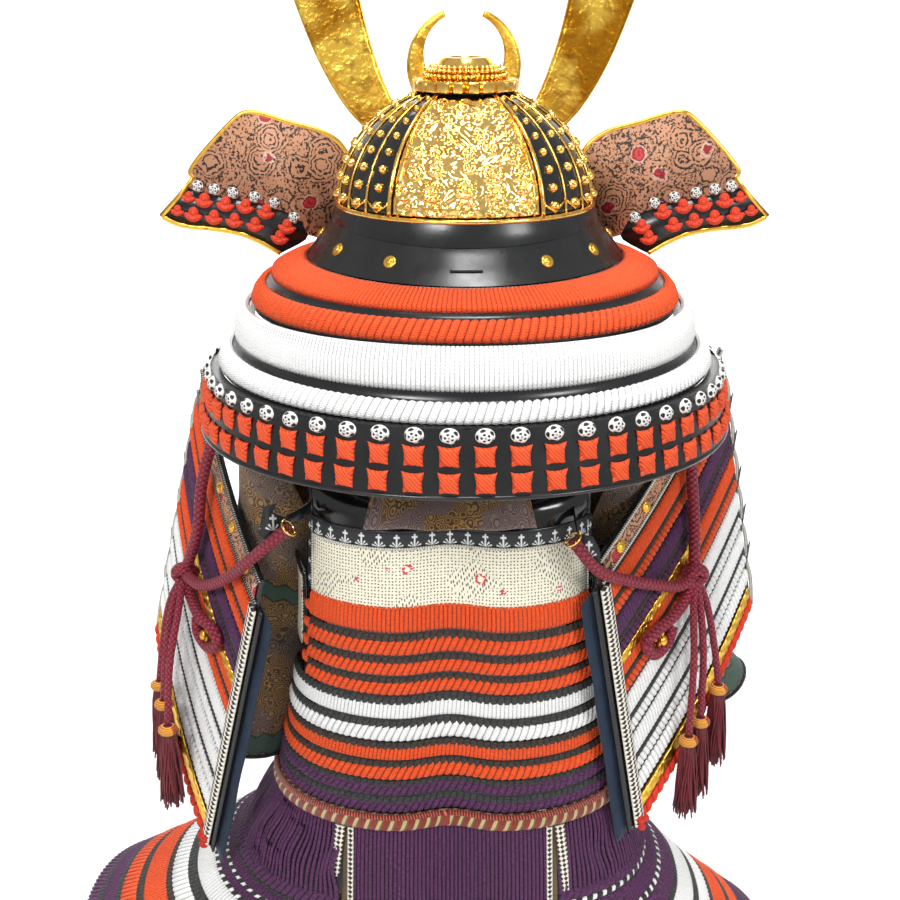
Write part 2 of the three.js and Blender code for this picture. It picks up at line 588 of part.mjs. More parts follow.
// Crimson cords: on each guard a cord hangs from the shoulder to a knot, one crosses to the back of the
// shoulder, one loops round the guard's fitting, and three tails hang down to their tassels.
const CORD = { radius: 4.4, tail: 2.8, sides: 6 };
const CORDS = {
  left: {
    knot: [-206, 13, -69],
    hanging: [[-93, 8, 34.4], [-97, 9, 45], [-124, 10, 56], [-150, 8, 62], [-172, 0, 48], [-186, 3, 10], [-191, 1, -26], [-200, 8, -54], [-206, 13, -69]],
    cross: [[-206, 13, -69], [-190, -12, -68], [-168, -38, -53], [-144, -62, -27], [-126, -73, -8], [-113, -76, 4]],
    loop: [[-206, 13, -69], [-200, 2, -84], [-190, -18, -92], [-179, -30, -96], [-174.6, -36.8, -104], [-182, -30, -112], [-192, -18, -105], [-193, -14, -94]],
    tails: [
      [[-206, 13, -69], [-218, 12, -92], [-225, 8, -125], [-229, 4, -156]],
      [[-206, 13, -69], [-214, 0, -92], [-219, -12, -125], [-222, -18, -161]],
      [[-206, 13, -69], [-208, -10, -92], [-213, -28, -125], [-216, -38, -172]],
    ],
  },
  right: {
    knot: [186, -10, -60],
    hanging: [[93, 8, 34.4], [97, 9, 45], [124, 12, 56], [152, 18, 64], [178, 10, 48], [182, 4, 10], [185, -1, -26], [185, -7, -47], [186, -10, -60]],
    cross: [[186, -10, -60], [174, -20, -65], [151, -39, -56], [129, -56, -45], [106, -74, -30], [92, -81, -12], [86, -80, -3]],
    loop: [[186, -10, -60], [178, -18, -78], [165, -33, -87], [154, -44, -91], [145, -53, -97], [152, -49, -108], [163, -38, -103], [167, -32, -93]],
    tails: [
      [[186, -10, -60], [196, -8, -84], [204, -9, -120], [209, -10, -152]],
      [[186, -10, -60], [190, -17, -84], [193, -25, -120], [193, -29, -170]],
      [[186, -10, -60], [184, -22, -84], [184, -36, -120], [182, -44, -178]],
    ],
  },
};
const TASSEL = { head: 5.6, neck: 4.6, foot: 8, length: 62, strands: 8, strand: 1.7 };

// A tassel: a round head, and strands that leave it side by side
function makeTassel([x, y, z]) {
  const head = new THREE.SphereGeometry(TASSEL.head, 8, 5);
  head.rotateX(Math.PI / 2);
  head.translate(x, y, z - TASSEL.head);
  const strands = Array.from({ length: TASSEL.strands }, (unused, i) => {
    const turn = (2 * Math.PI * i) / TASSEL.strands;
    const spot = (radius, drop) => V(x + radius * Math.cos(turn), y + radius * Math.sin(turn), z - drop);
    const triangle = (middle, size) => [0, 1, 2].map((k) => {
      const a = turn + (2 * Math.PI * k) / 3;
      return middle.clone().add(V(size * Math.cos(a), size * Math.sin(a), 0));
    });
    const reach = TASSEL.length * (i % 2 === 0 ? 1 : 0.93);
    return sweep([
      triangle(spot(TASSEL.neck - 1.8, TASSEL.head + 1.5), TASSEL.strand),
      triangle(spot(TASSEL.foot, reach), TASSEL.strand),
    ], 2);
  });
  return join(head, ...strands);
}
for (const [side, { knot, hanging, cross, loop, tails }] of Object.entries(CORDS)) {
  const ball = new THREE.SphereGeometry(9, 8, 6);
  ball.scale(1, 1, 0.85);
  ball.translate(...knot);
  const strands = [hanging, cross, loop].map((route) => tube(route, CORD.radius, CORD.sides, 8));
  const thin = tails.map((route) => tube(route, CORD.tail, CORD.sides, 3));
  add(`guard_cord_${side}`, join(ball, ...strands, ...thin), LOOK.crimson);
  tails.forEach((route, i) => {
    const [x, y, z] = route[route.length - 1];
    add(`tassel_${side}_${i + 1}`, makeTassel([x, y, z - SEAM]), LOOK.crimson);
  });
}

// Sleeves: hollow tubes down the arms. Each row is a station: its middle and its radius.
// A sleeve's top dips on the body's side, where the arm enters, and a short tie holds it to the shoulder strap.
const SLEEVES = {
  sleeve_left: [
    { x: -128.8, y: 6, z: 33, r: 28.2 }, { x: -135, y: 10, z: -35, r: 29 }, { x: -145, y: 7, z: -90, r: 28 },
    { x: -154, y: 0, z: -150, r: 27 }, { x: -161, y: -2, z: -208, r: 25 },
  ],
  sleeve_right: [
    { x: 126.6, y: 6, z: 33, r: 26 }, { x: 136, y: 22, z: -35, r: 29 }, { x: 152, y: 44, z: -88, r: 29 },
    { x: 190, y: 68, z: -148, r: 26 }, { x: 232, y: 88, z: -200, r: 22 },
  ],
};
const SLEEVE_WALL = 2;
const SLEEVE_DIP = 62;
const SLEEVE_TIES = {
  sleeve_left: [[-117, 31.6, 13], [-109, 31, 23], [-101.3, 27, 24.8]],
  sleeve_right: [[114.6, 28.4, 13], [108, 30, 23], [101.3, 27, 24.8]],
};
function makeSleeve(stations) {
  const curve = new THREE.CatmullRomCurve3(stations.map(({ x, y, z }) => V(x, y, z)));
  const count = 6;
  const ring = (share, shrink) => {
    const at = curve.getPoint(share);
    const ahead = curve.getTangent(share);
    const across = V(0, 1, 0).cross(ahead).normalize();
    const up = ahead.clone().cross(across).normalize();
    const place = share * (stations.length - 1);
    const low = Math.min(Math.floor(place), stations.length - 2);
    const radius = lerp(stations[low].r, stations[low + 1].r, place - low) - shrink;
    const inwards = Math.sign(stations[0].x);
    return steps(0, 11, 11).map((side) => rad(30 * side)).map((a) => at.clone()
      .addScaledVector(across, radius * Math.cos(a)).addScaledVector(up, radius * Math.sin(a))
      .add(V(0, 0, -SLEEVE_DIP * (1 - share) ** 4 * Math.max(0, inwards * Math.cos(a)) ** 2)));
  };
  const outer = steps(0, 1, count).map((share) => ring(share, 0));
  const inner = steps(1, 0, count).map((share) => ring(share, SLEEVE_WALL));
  return sweep([...outer, ...inner]);
}
for (const [name, stations] of Object.entries(SLEEVES)) {
  add(name, join(makeSleeve(stations), tube(SLEEVE_TIES[name], 2, 6, 3)), LOOK.brocade);
}

// Skirt: four curtains of hanging cords and four laced panels.
// A station's out and down are measured from the waist, at the panel's middle and at its rear edge.
const SKIRT = {
  rear: { from: -27, to: 27, out: [1, 5, 20, 36], down: [0, 70, 140, 210] },
  right: { from: 31, to: 149, out: [1, 26, 74, 134], down: [0, 70, 118, 168], edge: 0.3 },
  front: { from: 153, to: 207, out: [1, 5, 20, 36], down: [0, 70, 140, 210] },
  left: { from: 211, to: 329, out: [1, 36, 96, 168], down: [0, 58, 92, 130], edge: 0.3 },
};

// How far a skirt surface has swung out and dropped, at a turn and a share of the way down
function onSkirt(panel, turn, share, out) {
  const place = share * (panel.out.length - 1);
  const low = Math.min(Math.floor(place), panel.out.length - 2);
  const swing = lerp(panel.out[low], panel.out[low + 1], place - low);
  const drop = lerp(panel.down[low], panel.down[low + 1], place - low);
  const middle = (rad(panel.from) + rad(panel.to)) / 2;
  const half = (rad(panel.to) - rad(panel.from)) / 2;
  const away = Math.abs(turn - middle) / half;
  const ease = panel.edge ? 1 - (1 - panel.edge) * away * away : 1;
  const reach = Math.hypot(swing, drop);
  const eased = swing * ease;
  const start = onBody(turn, WAIST_Z - ROPE_RADIUS - SEAM, -0.6);
  const outward = onBody(turn, WAIST_Z, 12).sub(onBody(turn, WAIST_Z, 2)).normalize();
  return start.addScaledVector(outward, eased + out).add(V(0, 0, -Math.sqrt(reach * reach - eased * eased)));
}

const CURTAIN_END = 1 / 3;
const PANEL_LAMES = 4;
for (const [side, panel] of Object.entries(SKIRT)) {
  const wide = panel.to - panel.from > 90;
  const turns = steps(rad(panel.from), rad(panel.to), wide ? 14 : 8);
  const curtain = turns.map((turn, i) => {
    const pleat = i % 2 === 0 ? 0 : 1.4;
    const shares = steps(0, CURTAIN_END - 0.003, 2);
    return [
      ...shares.map((share) => onSkirt(panel, turn, share, pleat)),
      ...[...shares].reverse().map((share) => onSkirt(panel, turn, share, -PLATE)),
    ];
  });
  add(`curtain_${side}`, sweep(curtain, 3), LOOK.purple);
  const rows = [];
  for (let lame = 0; lame < PANEL_LAMES; lame++) {
    const top = lerp(CURTAIN_END, 1, lame / PANEL_LAMES);
    const low = lerp(CURTAIN_END, 1, (lame + 1) / PANEL_LAMES);
    rows.push({ share: top + 0.003, out: LACE }, { share: low - 0.03, out: LACE }, { share: low - 0.006, out: 0.4 });
  }
  const panelTurns = steps(rad(panel.from), rad(panel.to), wide ? 12 : 6);
  const loops = panelTurns.map((turn) => [
    ...rows.map(({ share, out }) => onSkirt(panel, turn, share, out)),
    ...[1, 0.78, 0.56, CURTAIN_END + 0.001].map((share) => onSkirt(panel, turn, Math.min(share, 0.994), -PLATE)),
  ]);
  add(`panel_${side}`, sweep(loops, rows.length), LOOK.purple);
}

export default root;
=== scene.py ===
"""A laced samurai armour seen from behind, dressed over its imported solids.

Lengths here are millimetres in the solids' own frame, and MM turns them into metres when a mesh is made.
Surfaces are functions of two parameters, worked out as whole numpy arrays.
"""
import math

import bpy
import numpy as np
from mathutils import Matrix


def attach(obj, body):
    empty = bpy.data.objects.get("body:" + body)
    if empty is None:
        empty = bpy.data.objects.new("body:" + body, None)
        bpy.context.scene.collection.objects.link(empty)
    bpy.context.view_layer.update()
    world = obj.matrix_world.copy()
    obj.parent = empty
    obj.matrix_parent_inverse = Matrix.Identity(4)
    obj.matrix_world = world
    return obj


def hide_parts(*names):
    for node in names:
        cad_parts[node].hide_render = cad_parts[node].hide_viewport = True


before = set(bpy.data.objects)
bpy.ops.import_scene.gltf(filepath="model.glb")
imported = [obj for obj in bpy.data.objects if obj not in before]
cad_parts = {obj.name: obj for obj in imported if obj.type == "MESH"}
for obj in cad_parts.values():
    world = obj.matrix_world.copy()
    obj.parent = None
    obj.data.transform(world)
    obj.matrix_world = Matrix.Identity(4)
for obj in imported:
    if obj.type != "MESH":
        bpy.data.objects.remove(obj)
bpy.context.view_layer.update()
MM = 0.001
TAU = 2 * np.pi
SEED = 11


# Camera and stage

CAMERA_LENS = 57.1
CAMERA_SENSOR = 36
CAMERA_PLACE = (0, -1.005, 0.376)
CAMERA_TILT = math.radians(71.3)
camera_data = bpy.data.cameras.new("camera")
camera_data.lens = CAMERA_LENS
camera_data.sensor_width = CAMERA_SENSOR
camera = bpy.data.objects.new("camera", camera_data)
camera.location = CAMERA_PLACE
camera.rotation_euler = (CAMERA_TILT, 0, 0)
bpy.context.collection.objects.link(camera)
bpy.context.scene.camera = camera
bpy.context.scene.view_settings.view_transform = "Standard"


# Mesh helpers

def unit(vectors):
    """Vectors scaled to length one."""
    return vectors / np.maximum(np.linalg.norm(vectors, axis=-1, keepdims=True), 1e-9)


def frac(values):
    """What is left of a number above its whole part."""
    return values - np.floor(values)


def points_of(x, y, z):
    """Three arrays of coordinates as one array of points."""
    return np.stack(np.broadcast_arrays(x, y, z), axis=-1).astype(float)


def loft(rings, wrap=False, along=None, around=None, caps=True):
    """Faces over rings[i, j], where j goes round each closed ring. wrap joins the last ring to the first.
    along and around are the pattern coordinates of the rings and of the points round them."""
    count, size = rings.shape[:2]
    rows = count if wrap else count - 1
    i, j = (a.ravel() for a in np.meshgrid(np.arange(rows), np.arange(size), indexing="ij"))
    corners = [(i, j), (i + 1, j), (i + 1, j + 1), (i, j + 1)]
    faces = [np.stack([(a % count) * size + b % size for a, b in corners], 1)]
    along = np.arange(count + 1) / count if along is None else np.asarray(along, float)
    around = np.arange(size + 1) / size if around is None else np.asarray(around, float)
    maps = [np.stack([np.stack([along[a], around[b]], 1) for a, b in corners], 1)]
    if caps and not wrap:
        for ring, turn in ((0, slice(None)), (count - 1, slice(None, None, -1))):
            order = np.arange(size)[turn]
            faces.append((ring * size + order)[None])
            maps.append(np.stack([np.full(size, along[ring]), around[order]], 1)[None])
    return rings.reshape(-1, 3), faces, maps


def sheet_of(outer, inner, along=None, down=None, wrap=False):
    """A wall between two grids of points of the same shape, closed at its edges."""
    rings = np.concatenate([outer, inner[:, ::-1]], axis=1)
    size = outer.shape[1]
    down = np.arange(size) / (size - 1) if down is None else np.asarray(down, float)
    around = np.concatenate([down, down[::-1], down[:1]])
    return loft(rings, wrap, along, around)


def merged(parts):
    """Several parts, each of points, faces and pattern coordinates, as one."""
    points, faces, maps, start = [], [], [], 0
    for part_points, part_faces, part_maps in parts:
        points.append(part_points)
        faces += [f + start for f in part_faces]
        maps += part_maps
        start += len(part_points)
    return np.concatenate(points), faces, maps


def outwards(part):
    """A closed part with its faces turned so that its volume is positive."""
    points, faces, maps = part
    volume = 0.0
    for face in faces:
        for k in range(1, face.shape[1] - 1):
            a, b, c = (points[face[:, n]] for n in (0, k, k + 1))
            volume += np.einsum("ij,ij->", a, np.cross(b, c))
    if volume < 0:
        faces = [f[:, ::-1] for f in faces]
        maps = [m[:, ::-1] for m in maps]
    return points, faces, maps


def piece(name, part, material, nodes=(), sharp=None):
    """A mesh object at the origin. It rides with the armour and stands for the nodes named."""
    points, faces, maps = part
    mesh = bpy.data.meshes.new(name)
    mesh.vertices.add(len(points))
    mesh.vertices.foreach_set("co", (points * MM).astype(np.float32).ravel())
    corners = np.concatenate([f.ravel() for f in faces]).astype(np.int32)
    sizes = np.concatenate([np.full(len(f), f.shape[1]) for f in faces])
    mesh.loops.add(len(corners))
    mesh.loops.foreach_set("vertex_index", corners)
    mesh.polygons.add(len(sizes))
    mesh.polygons.foreach_set("loop_start", np.concatenate([[0], np.cumsum(sizes)[:-1]]).astype(np.int32))
    mesh.update(calc_edges=True)
    layer = mesh.uv_layers.new(name="pattern")
    layer.data.foreach_set("uv", np.concatenate([m.reshape(-1) for m in maps]).astype(np.float32))
    mesh.polygons.foreach_set("use_smooth", np.ones(len(sizes), bool))
    mesh.validate()
    if sharp:
        mesh.set_sharp_from_angle(angle=math.radians(sharp))
    mesh.materials.append(material)
    made = bpy.data.objects.new(name, mesh)
    bpy.context.collection.objects.link(made)
    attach(made, "root")
    if nodes:
        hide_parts(*([nodes] if isinstance(nodes, str) else nodes))
    return made


def curve_through(points, count):
    """A centripetal Catmull-Rom curve through chosen points, sampled evenly in its parameter."""
    points = np.asarray(points, float)
    ends = [2 * points[0] - points[1], *points, 2 * points[-1] - points[-2]]
    knots = np.concatenate([[0], np.cumsum(np.linalg.norm(np.diff(ends, axis=0), axis=1) ** 0.5)])
    ends = np.array(ends)
    share = np.linspace(0, len(points) - 1, count)
    k = np.minimum(share.astype(int), len(points) - 2)
    t = (knots[k + 1] + (share - k) * (knots[k + 2] - knots[k + 1]))[:, None]
    time = [knots[k + n][:, None] for n in range(4)]
    spot = [ends[k + n] for n in range(4)]
    first = [spot[n] + (spot[n + 1] - spot[n]) * (t - time[n]) / (time[n + 1] - time[n]) for n in range(3)]
    second = [first[n] + (first[n + 1] - first[n]) * (t - time[n]) / (time[n + 2] - time[n])
        for n in range(2)]
    return second[0] + (second[1] - second[0]) * (t - time[1]) / (time[2] - time[1])


def frames_along(path, wrap=False):
    """Two directions square to a path at each of its points, carried along without twisting much."""
    ahead = np.roll(path, -1, 0) - np.roll(path, 1, 0) if wrap else np.gradient(path, axis=0)
    ahead = unit(ahead)
    guide = np.array([0.31, 0.27, 0.91])
    across = unit(np.cross(ahead, guide))
    return across, np.cross(across, ahead)


def tube(path, radius, sides=10, wrap=False, flat=1.0):
    """A tube along a path. radius may change along it, and flat squeezes it in its second direction."""
    path = np.asarray(path, float)
    across, up = frames_along(path, wrap)
    turn = np.arange(sides) / sides * TAU
    radius = np.broadcast_to(np.asarray(radius, float), (len(path),))[:, None, None]
    rings = path[:, None] + radius * (
        np.cos(turn)[None, :, None] * across[:, None] + flat * np.sin(turn)[None, :, None] * up[:, None])
    steps = np.linalg.norm(np.diff(path, axis=0), axis=1)
    along = np.concatenate([[0], np.cumsum(steps), [steps.sum() + steps.mean()]])
    return loft(rings, wrap, along, np.arange(sides + 1) / sides)


def repeated(points, faces, maps, spots, x_axes, y_axes, z_axes, scales=None):
    """Copies of a small part, each set at its own spot with its own three axes."""
    count, size = len(spots), len(points)
    scales = np.ones(count) if scales is None else np.asarray(scales, float)
    shaped = points[None] * scales[:, None, None]
    placed = (spots[:, None] + shaped[..., :1] * x_axes[:, None] + shaped[..., 1:2] * y_axes[:, None]
        + shaped[..., 2:] * z_axes[:, None])
    shift = (np.arange(count) * size)[:, None, None]
    many = [(f[None] + shift).reshape(-1, f.shape[1]) for f in faces]
    coords = [np.broadcast_to(m[None], (count, *m.shape)).reshape(-1, *m.shape[1:]) for m in maps]
    return placed.reshape(-1, 3), many, coords


def facing(normals, down=(0, 0, -1)):
    """For each outward normal, axes across, up and out: up is the way against down, in the surface."""
    out = unit(normals)
    up = unit(-np.asarray(down, float) + out * (out @ np.asarray(down, float))[:, None])
    return np.cross(up, out), up, out


def dome(radius, height, rings=4, sides=12, under=0.4, power=0.5):
    """A round cap: its height falls from the middle as (1 - r squared) to a power."""
    share = np.linspace(1, 0.02, rings + 1)
    turn = np.arange(sides) / sides * TAU
    rise = height * (1 - share ** 2) ** power
    rows = [points_of(radius * s * np.cos(turn), radius * s * np.sin(turn), h) for s, h in zip(share, rise)]
    low = points_of(radius * np.cos(turn), radius * np.sin(turn), -under)
    return outwards(loft(np.stack([low, *rows]), along=np.concatenate([[1.1], share, [0]])))


# Node helpers for materials

class Drawing:
    """Where new nodes go: the node tree of the material that is being made."""
    tree = None


class Value:
    """A number, colour or vector inside a material. Arithmetic on it adds a maths node."""

    def __init__(self, socket):
        self.socket = socket

    def __add__(self, other):
        return maths("ADD", self, other)

    def __radd__(self, other):
        return maths("ADD", other, self)

    def __sub__(self, other):
        return maths("SUBTRACT", self, other)

    def __rsub__(self, other):
        return maths("SUBTRACT", other, self)

    def __mul__(self, other):
        return maths("MULTIPLY", self, other)

    def __rmul__(self, other):
        return maths("MULTIPLY", other, self)

    def __truediv__(self, other):
        return maths("DIVIDE", self, other)

    def __abs__(self):
        return maths("ABSOLUTE", self)


def added(kind):
    """A new node of this kind."""
    return Drawing.tree.nodes.new(kind)


def finish(name, colour, roughness, metal=0.0, coat=0.0, sheen=0.0):
    """A material with its plain numbers set on the shader's own sockets."""
    made = bpy.data.materials.new(name)
    made.use_nodes = True
    Drawing.tree = made.node_tree
    shader = made.node_tree.nodes["Principled BSDF"]
    shader.inputs["Base Color"].default_value = (*colour, 1)
    shader.inputs["Roughness"].default_value = roughness
    shader.inputs["Metallic"].default_value = metal
    shader.inputs["Coat Weight"].default_value = coat
    shader.inputs["Coat Roughness"].default_value = 0.12
    shader.inputs["Sheen Weight"].default_value = sheen
    return made, shader


def put(socket, value):
    """Sets a socket to a number or colour, or links a value to it."""
    if isinstance(value, Value):
        Drawing.tree.links.new(value.socket, socket)
    elif isinstance(value, tuple) and len(value) == 3 and socket.type == "RGBA":
        socket.default_value = (*value, 1)
    else:
        socket.default_value = value


def maths(operation, *values):
    node = added("ShaderNodeMath")
    node.operation = operation
    for socket, value in zip(node.inputs, values):
        put(socket, value)
    return Value(node.outputs[0])


def sine(value):
    return maths("SINE", value)


def fraction(value):
    return maths("FRACT", value)


def blend(factor, first, second, mode="MIX"):
    node = added("ShaderNodeMix")
    node.data_type = "RGBA"
    node.blend_type = mode
    put(node.inputs[0], factor)
    put(node.inputs[6], first)
    put(node.inputs[7], second)
    return Value(node.outputs[2])


def limits(value, low, high, start=0.0, end=1.0):
    """The value moved smoothly from one range to another, and held at its ends."""
    node = added("ShaderNodeMapRange")
    node.interpolation_type = "SMOOTHSTEP"
    for socket, number in zip(node.inputs, (value, low, high, start, end)):
        put(socket, number)
    return Value(node.outputs[0])


def noise(vector, scale, detail=2.0, rough=0.5, twist=0.0, output=0):
    node = added("ShaderNodeTexNoise")
    put(node.inputs["Vector"], vector)
    node.inputs["Scale"].default_value = scale
    node.inputs["Detail"].default_value = detail
    node.inputs["Roughness"].default_value = rough
    node.inputs["Distortion"].default_value = twist
    return Value(node.outputs[output])


def cells(vector, scale, output="Distance", jitter=1.0, feature="F1"):
    node = added("ShaderNodeTexVoronoi")
    node.feature = feature
    put(node.inputs["Vector"], vector)
    node.inputs["Scale"].default_value = scale
    node.inputs["Randomness"].default_value = jitter
    return Value(node.outputs[output])


def coloured(shader, value):
    put(shader.inputs["Base Color"], value)


def bumped(shader, height, distance, strength=1.0):
    node = added("ShaderNodeBump")
    put(node.inputs["Height"], height)
    node.inputs["Distance"].default_value = distance
    node.inputs["Strength"].default_value = strength
    put(shader.inputs["Normal"], Value(node.outputs[0]))


def place():
    """The point in metres, in the solids' frame."""
    return Value(added("ShaderNodeTexCoord").outputs["Object"])


def pattern():
    """The piece's own pattern coordinates: the whole vector, then its two numbers."""
    node = added("ShaderNodeUVMap")
    node.uv_map = "pattern"
    split = added("ShaderNodeSeparateXYZ")
    vector = Value(node.outputs[0])
    put(split.inputs[0], vector)
    return vector, Value(split.outputs[0]), Value(split.outputs[1])


def vector_of(x, y, z=0.0):
    node = added("ShaderNodeCombineXYZ")
    for socket, value in zip(node.inputs, (x, y, z)):
        put(socket, value)
    return Value(node.outputs[0])


# Materials

def braid(name, colour, valley, fleck=0.12, roughness=0.75):
    """Flat braided cord. The first pattern number counts cords, and the second is millimetres down them.
    Chevrons run down each cord. Painted shade darkens the valley between two cords and the troughs of the
    chevrons."""
    made, shader = finish(name, colour, roughness, sheen=0.06)
    shader.inputs["Sheen Roughness"].default_value = 0.4
    vector, count, down = pattern()
    side = abs(fraction(count) - 0.5)
    chevron = sine(maths("MULTIPLY_ADD", down, 3.9, side * 9.0))
    edge = limits(side, 0.36, 0.5)
    shade = noise(vector, 0.9, 3)
    lit = tuple(min(1.0, c * (1 + fleck)) for c in colour)
    dim = tuple(c * (1 - 1.4 * fleck) for c in colour)
    base = blend(limits(shade, 0.35, 0.65), dim, lit)
    # painted shade in the troughs of the chevrons
    base = blend(limits(chevron, -1.0, 0.2, 0.22, 0.0), base, valley)
    # painted shade in the valley between two cords
    base = blend(edge * 0.85, base, valley)
    coloured(shader, base)
    bumped(shader, maths("MULTIPLY_ADD", chevron, 0.5, edge * -1.0), 0.0004, 0.8)
    return made


def lacquer(name, colour, roughness, coat):
    """Black lacquer: a faint orange-peel bump and slightly uneven gloss."""
    made, shader = finish(name, colour, roughness, coat=coat)
    spot = place()
    haze = noise(spot, 60, 3)
    put(shader.inputs["Roughness"], limits(haze, 0.3, 0.7, roughness * 0.85, roughness * 1.2))
    bumped(shader, noise(spot, 420, 2), 0.00008, 0.35)
    return made


def gilt(name, colour, roughness, grain, depth, hollow_shade=(0.35, 0.16, 0.02)):
    """Gilt metal with small dents, with painted shade in its hollows."""
    made, shader = finish(name, colour, roughness, metal=1.0)
    spot = place()
    dents = noise(spot, grain, 3, 0.6)
    # painted shade: the low parts of the dent noise are darkened
    coloured(shader, blend(limits(dents, 0.28, 0.5, 0.55, 0.0), colour, hollow_shade))
    bumped(shader, dents, depth, 0.6)
    return made


def hammered_gilt():
    """Satin gilt sheet, hammered: rows of shallow curved dents and broad soft waves. Its colour runs from
    dark brown to bright gold over the waves, as random tone with painted reflection, and dark lines of
    painted reflection follow the rims between the dents.
    """
    colour = (0.83, 0.47, 0.04)
    made, shader = finish("hammered gilt", colour, 0.33, metal=1.0)
    spot = place()
    dents = cells(spot, 95, jitter=0.9)
    waves = noise(spot, 16, 2, twist=0.6)
    fine = noise(spot, 260, 2)
    # random tone with painted reflection: broad waves from dark brown to bright gold
    tone = blend(limits(waves, 0.36, 0.62), (0.46, 0.19, 0.01), (1.0, 0.66, 0.1))
    # painted reflection: dark lines along the rims between the dents
    tone = blend(limits(dents, 0.55, 0.8, 0.0, 0.5), tone, (0.3, 0.11, 0.01))
    coloured(shader, tone)
    height = dents * 0.6 + maths("MULTIPLY_ADD", waves, 2.0, fine)
    bumped(shader, height, 0.0011, 0.75)
    return made


def dotted_leather():
    """Cream leather printed with rows of dots and short strokes, and a few small ring flowers in red."""
    cream = (0.80, 0.76, 0.60)
    ink = (0.045, 0.045, 0.035)
    made, shader = finish("dotted leather", cream, 0.6)
    vector, _, _ = pattern()
    swirl = noise(vector, 0.035, 1, output=1)
    zone = noise(vector, 0.028, 0)
    bent = blend(0.28, vector, swirl, "ADD")
    dots = limits(cells(bent, 0.40, jitter=0.22), 0.20, 0.29, 1.0, 0.0)
    squeezed = added("ShaderNodeMapping")
    squeezed.inputs["Scale"].default_value = (0.55, 0.20, 1)
    squeezed.inputs["Rotation"].default_value = (0, 0, 0.5)
    put(squeezed.inputs["Vector"], bent)
    strokes = limits(cells(Value(squeezed.outputs[0]), 1.0, jitter=0.35), 0.24, 0.32, 1.0, 0.0)
    marks = blend(limits(zone, 0.55, 0.57), vector_of(dots, dots, dots),
        vector_of(strokes, strokes, strokes))
    base = blend(marks, cream, ink)
    far = cells(vector, 0.043, jitter=0.85)
    petals = limits(abs(far - 0.145), 0.035, 0.05, 1.0, 0.0)
    beads = limits(noise(vector, 0.55, 0), 0.40, 0.50)
    base = blend(limits(far, 0.17, 0.18, 1.0, 0.0), base, cream)
    base = blend(petals * beads, base, (0.55, 0.03, 0.05))
    coloured(shader, base)
    bumped(shader, noise(vector, 1.4, 3), 0.0002, 0.5)
    return made


def rose_leather():
    """Tan leather printed with roses of thin broken rings, small black leaves, and red blossoms with a pale
    edge.
    A rose's rings are waves of the distance from a scattered middle, bent by noise."""
    tan = (0.50, 0.24, 0.13)
    ink = (0.022, 0.012, 0.009)
    made, shader = finish("rose leather", tan, 0.6)
    spot = place()
    bend = noise(spot, 110, 2, output=1)
    curled = blend(0.007, spot, bend, "ADD")
    far = cells(curled, 40)
    waves = sine(maths("MULTIPLY_ADD", far, 58.0, noise(spot, 260, 2) * 6.0))
    gaps = limits(noise(spot, 600, 1), 0.38, 0.44)
    rings = limits(waves, 0.15, 0.4) * limits(far, 0.5, 0.56, 1.0, 0.0)
    rings = rings * gaps
    leaves = limits(noise(spot, 560, 2, 0.6), 0.535, 0.56) * limits(far, 0.42, 0.5)
    base = blend(maths("MAXIMUM", rings, leaves), tan, ink)
    red_far = cells(curled, 34, jitter=0.8)
    edge = limits(red_far, 0.22, 0.25, 1.0, 0.0) * limits(noise(spot, 700, 1), 0.42, 0.47)
    base = blend(edge, base, (0.62, 0.40, 0.32))
    petals = limits(sine(maths("MULTIPLY_ADD", red_far, 80.0, noise(spot, 420) * 7.0)), -0.2, 0.5)
    red = blend(petals, (0.26, 0.012, 0.014), (0.52, 0.035, 0.035))
    base = blend(limits(red_far, 0.185, 0.205, 1.0, 0.0), base, red)
    coloured(shader, base)
    bumped(shader, noise(spot, 700, 3), 0.0002, 0.5)
    return made


def brocade(name, ground, gold, scale):
    """Brocade: wavy gold lattice on a dark ground with woven flowers, and a fine rib of threads with painted
    shade in its troughs.
    """
    made, shader = finish(name, gold, 0.55, sheen=0.2)
    vector, _, y = pattern()
    bend = noise(vector, 0.06 * scale, 2, output=1)
    curled = blend(2.2, vector, bend, "ADD")
    far = cells(curled, 0.16 * scale)
    lattice = sine(far * 26.0)
    zone = limits(noise(vector, 0.03 * scale, 1), 0.46, 0.52)
    tone = blend(limits(lattice, -0.1, 0.3), ground, gold)
    flower = limits(sine(far * 44.0), -0.2, 0.4)
    petals = blend(flower, (0.10, 0.06, 0.07), (0.30, 0.20, 0.16))
    tone = blend(zone, tone, petals)
    threads = sine(y * 11.0)
    # painted shade in the troughs between the threads of the rib
    tone = blend(limits(threads, -1.0, 1.0, 0.25, 0.0), tone, (0.02, 0.012, 0.008))
    coloured(shader, tone)
    bumped(shader, threads + lattice * 2.0, 0.0003, 0.6)
    return made


def checked_braid(name, light, dark, pitch=3.2, roughness=0.7):
    """A two-colour diamond braid: a check turned by an eighth, with each check rounded by the bump."""
    made, shader = finish(name, light, roughness, sheen=0.15)
    _, around, along = pattern()
    a = along / pitch + around
    b = along / pitch - around
    wave = sine(a * math.pi) * sine(b * math.pi)
    coloured(shader, blend(limits(wave, -0.12, 0.12), dark, light))
    bumped(shader, abs(wave), 0.0007, 0.8)
    return made


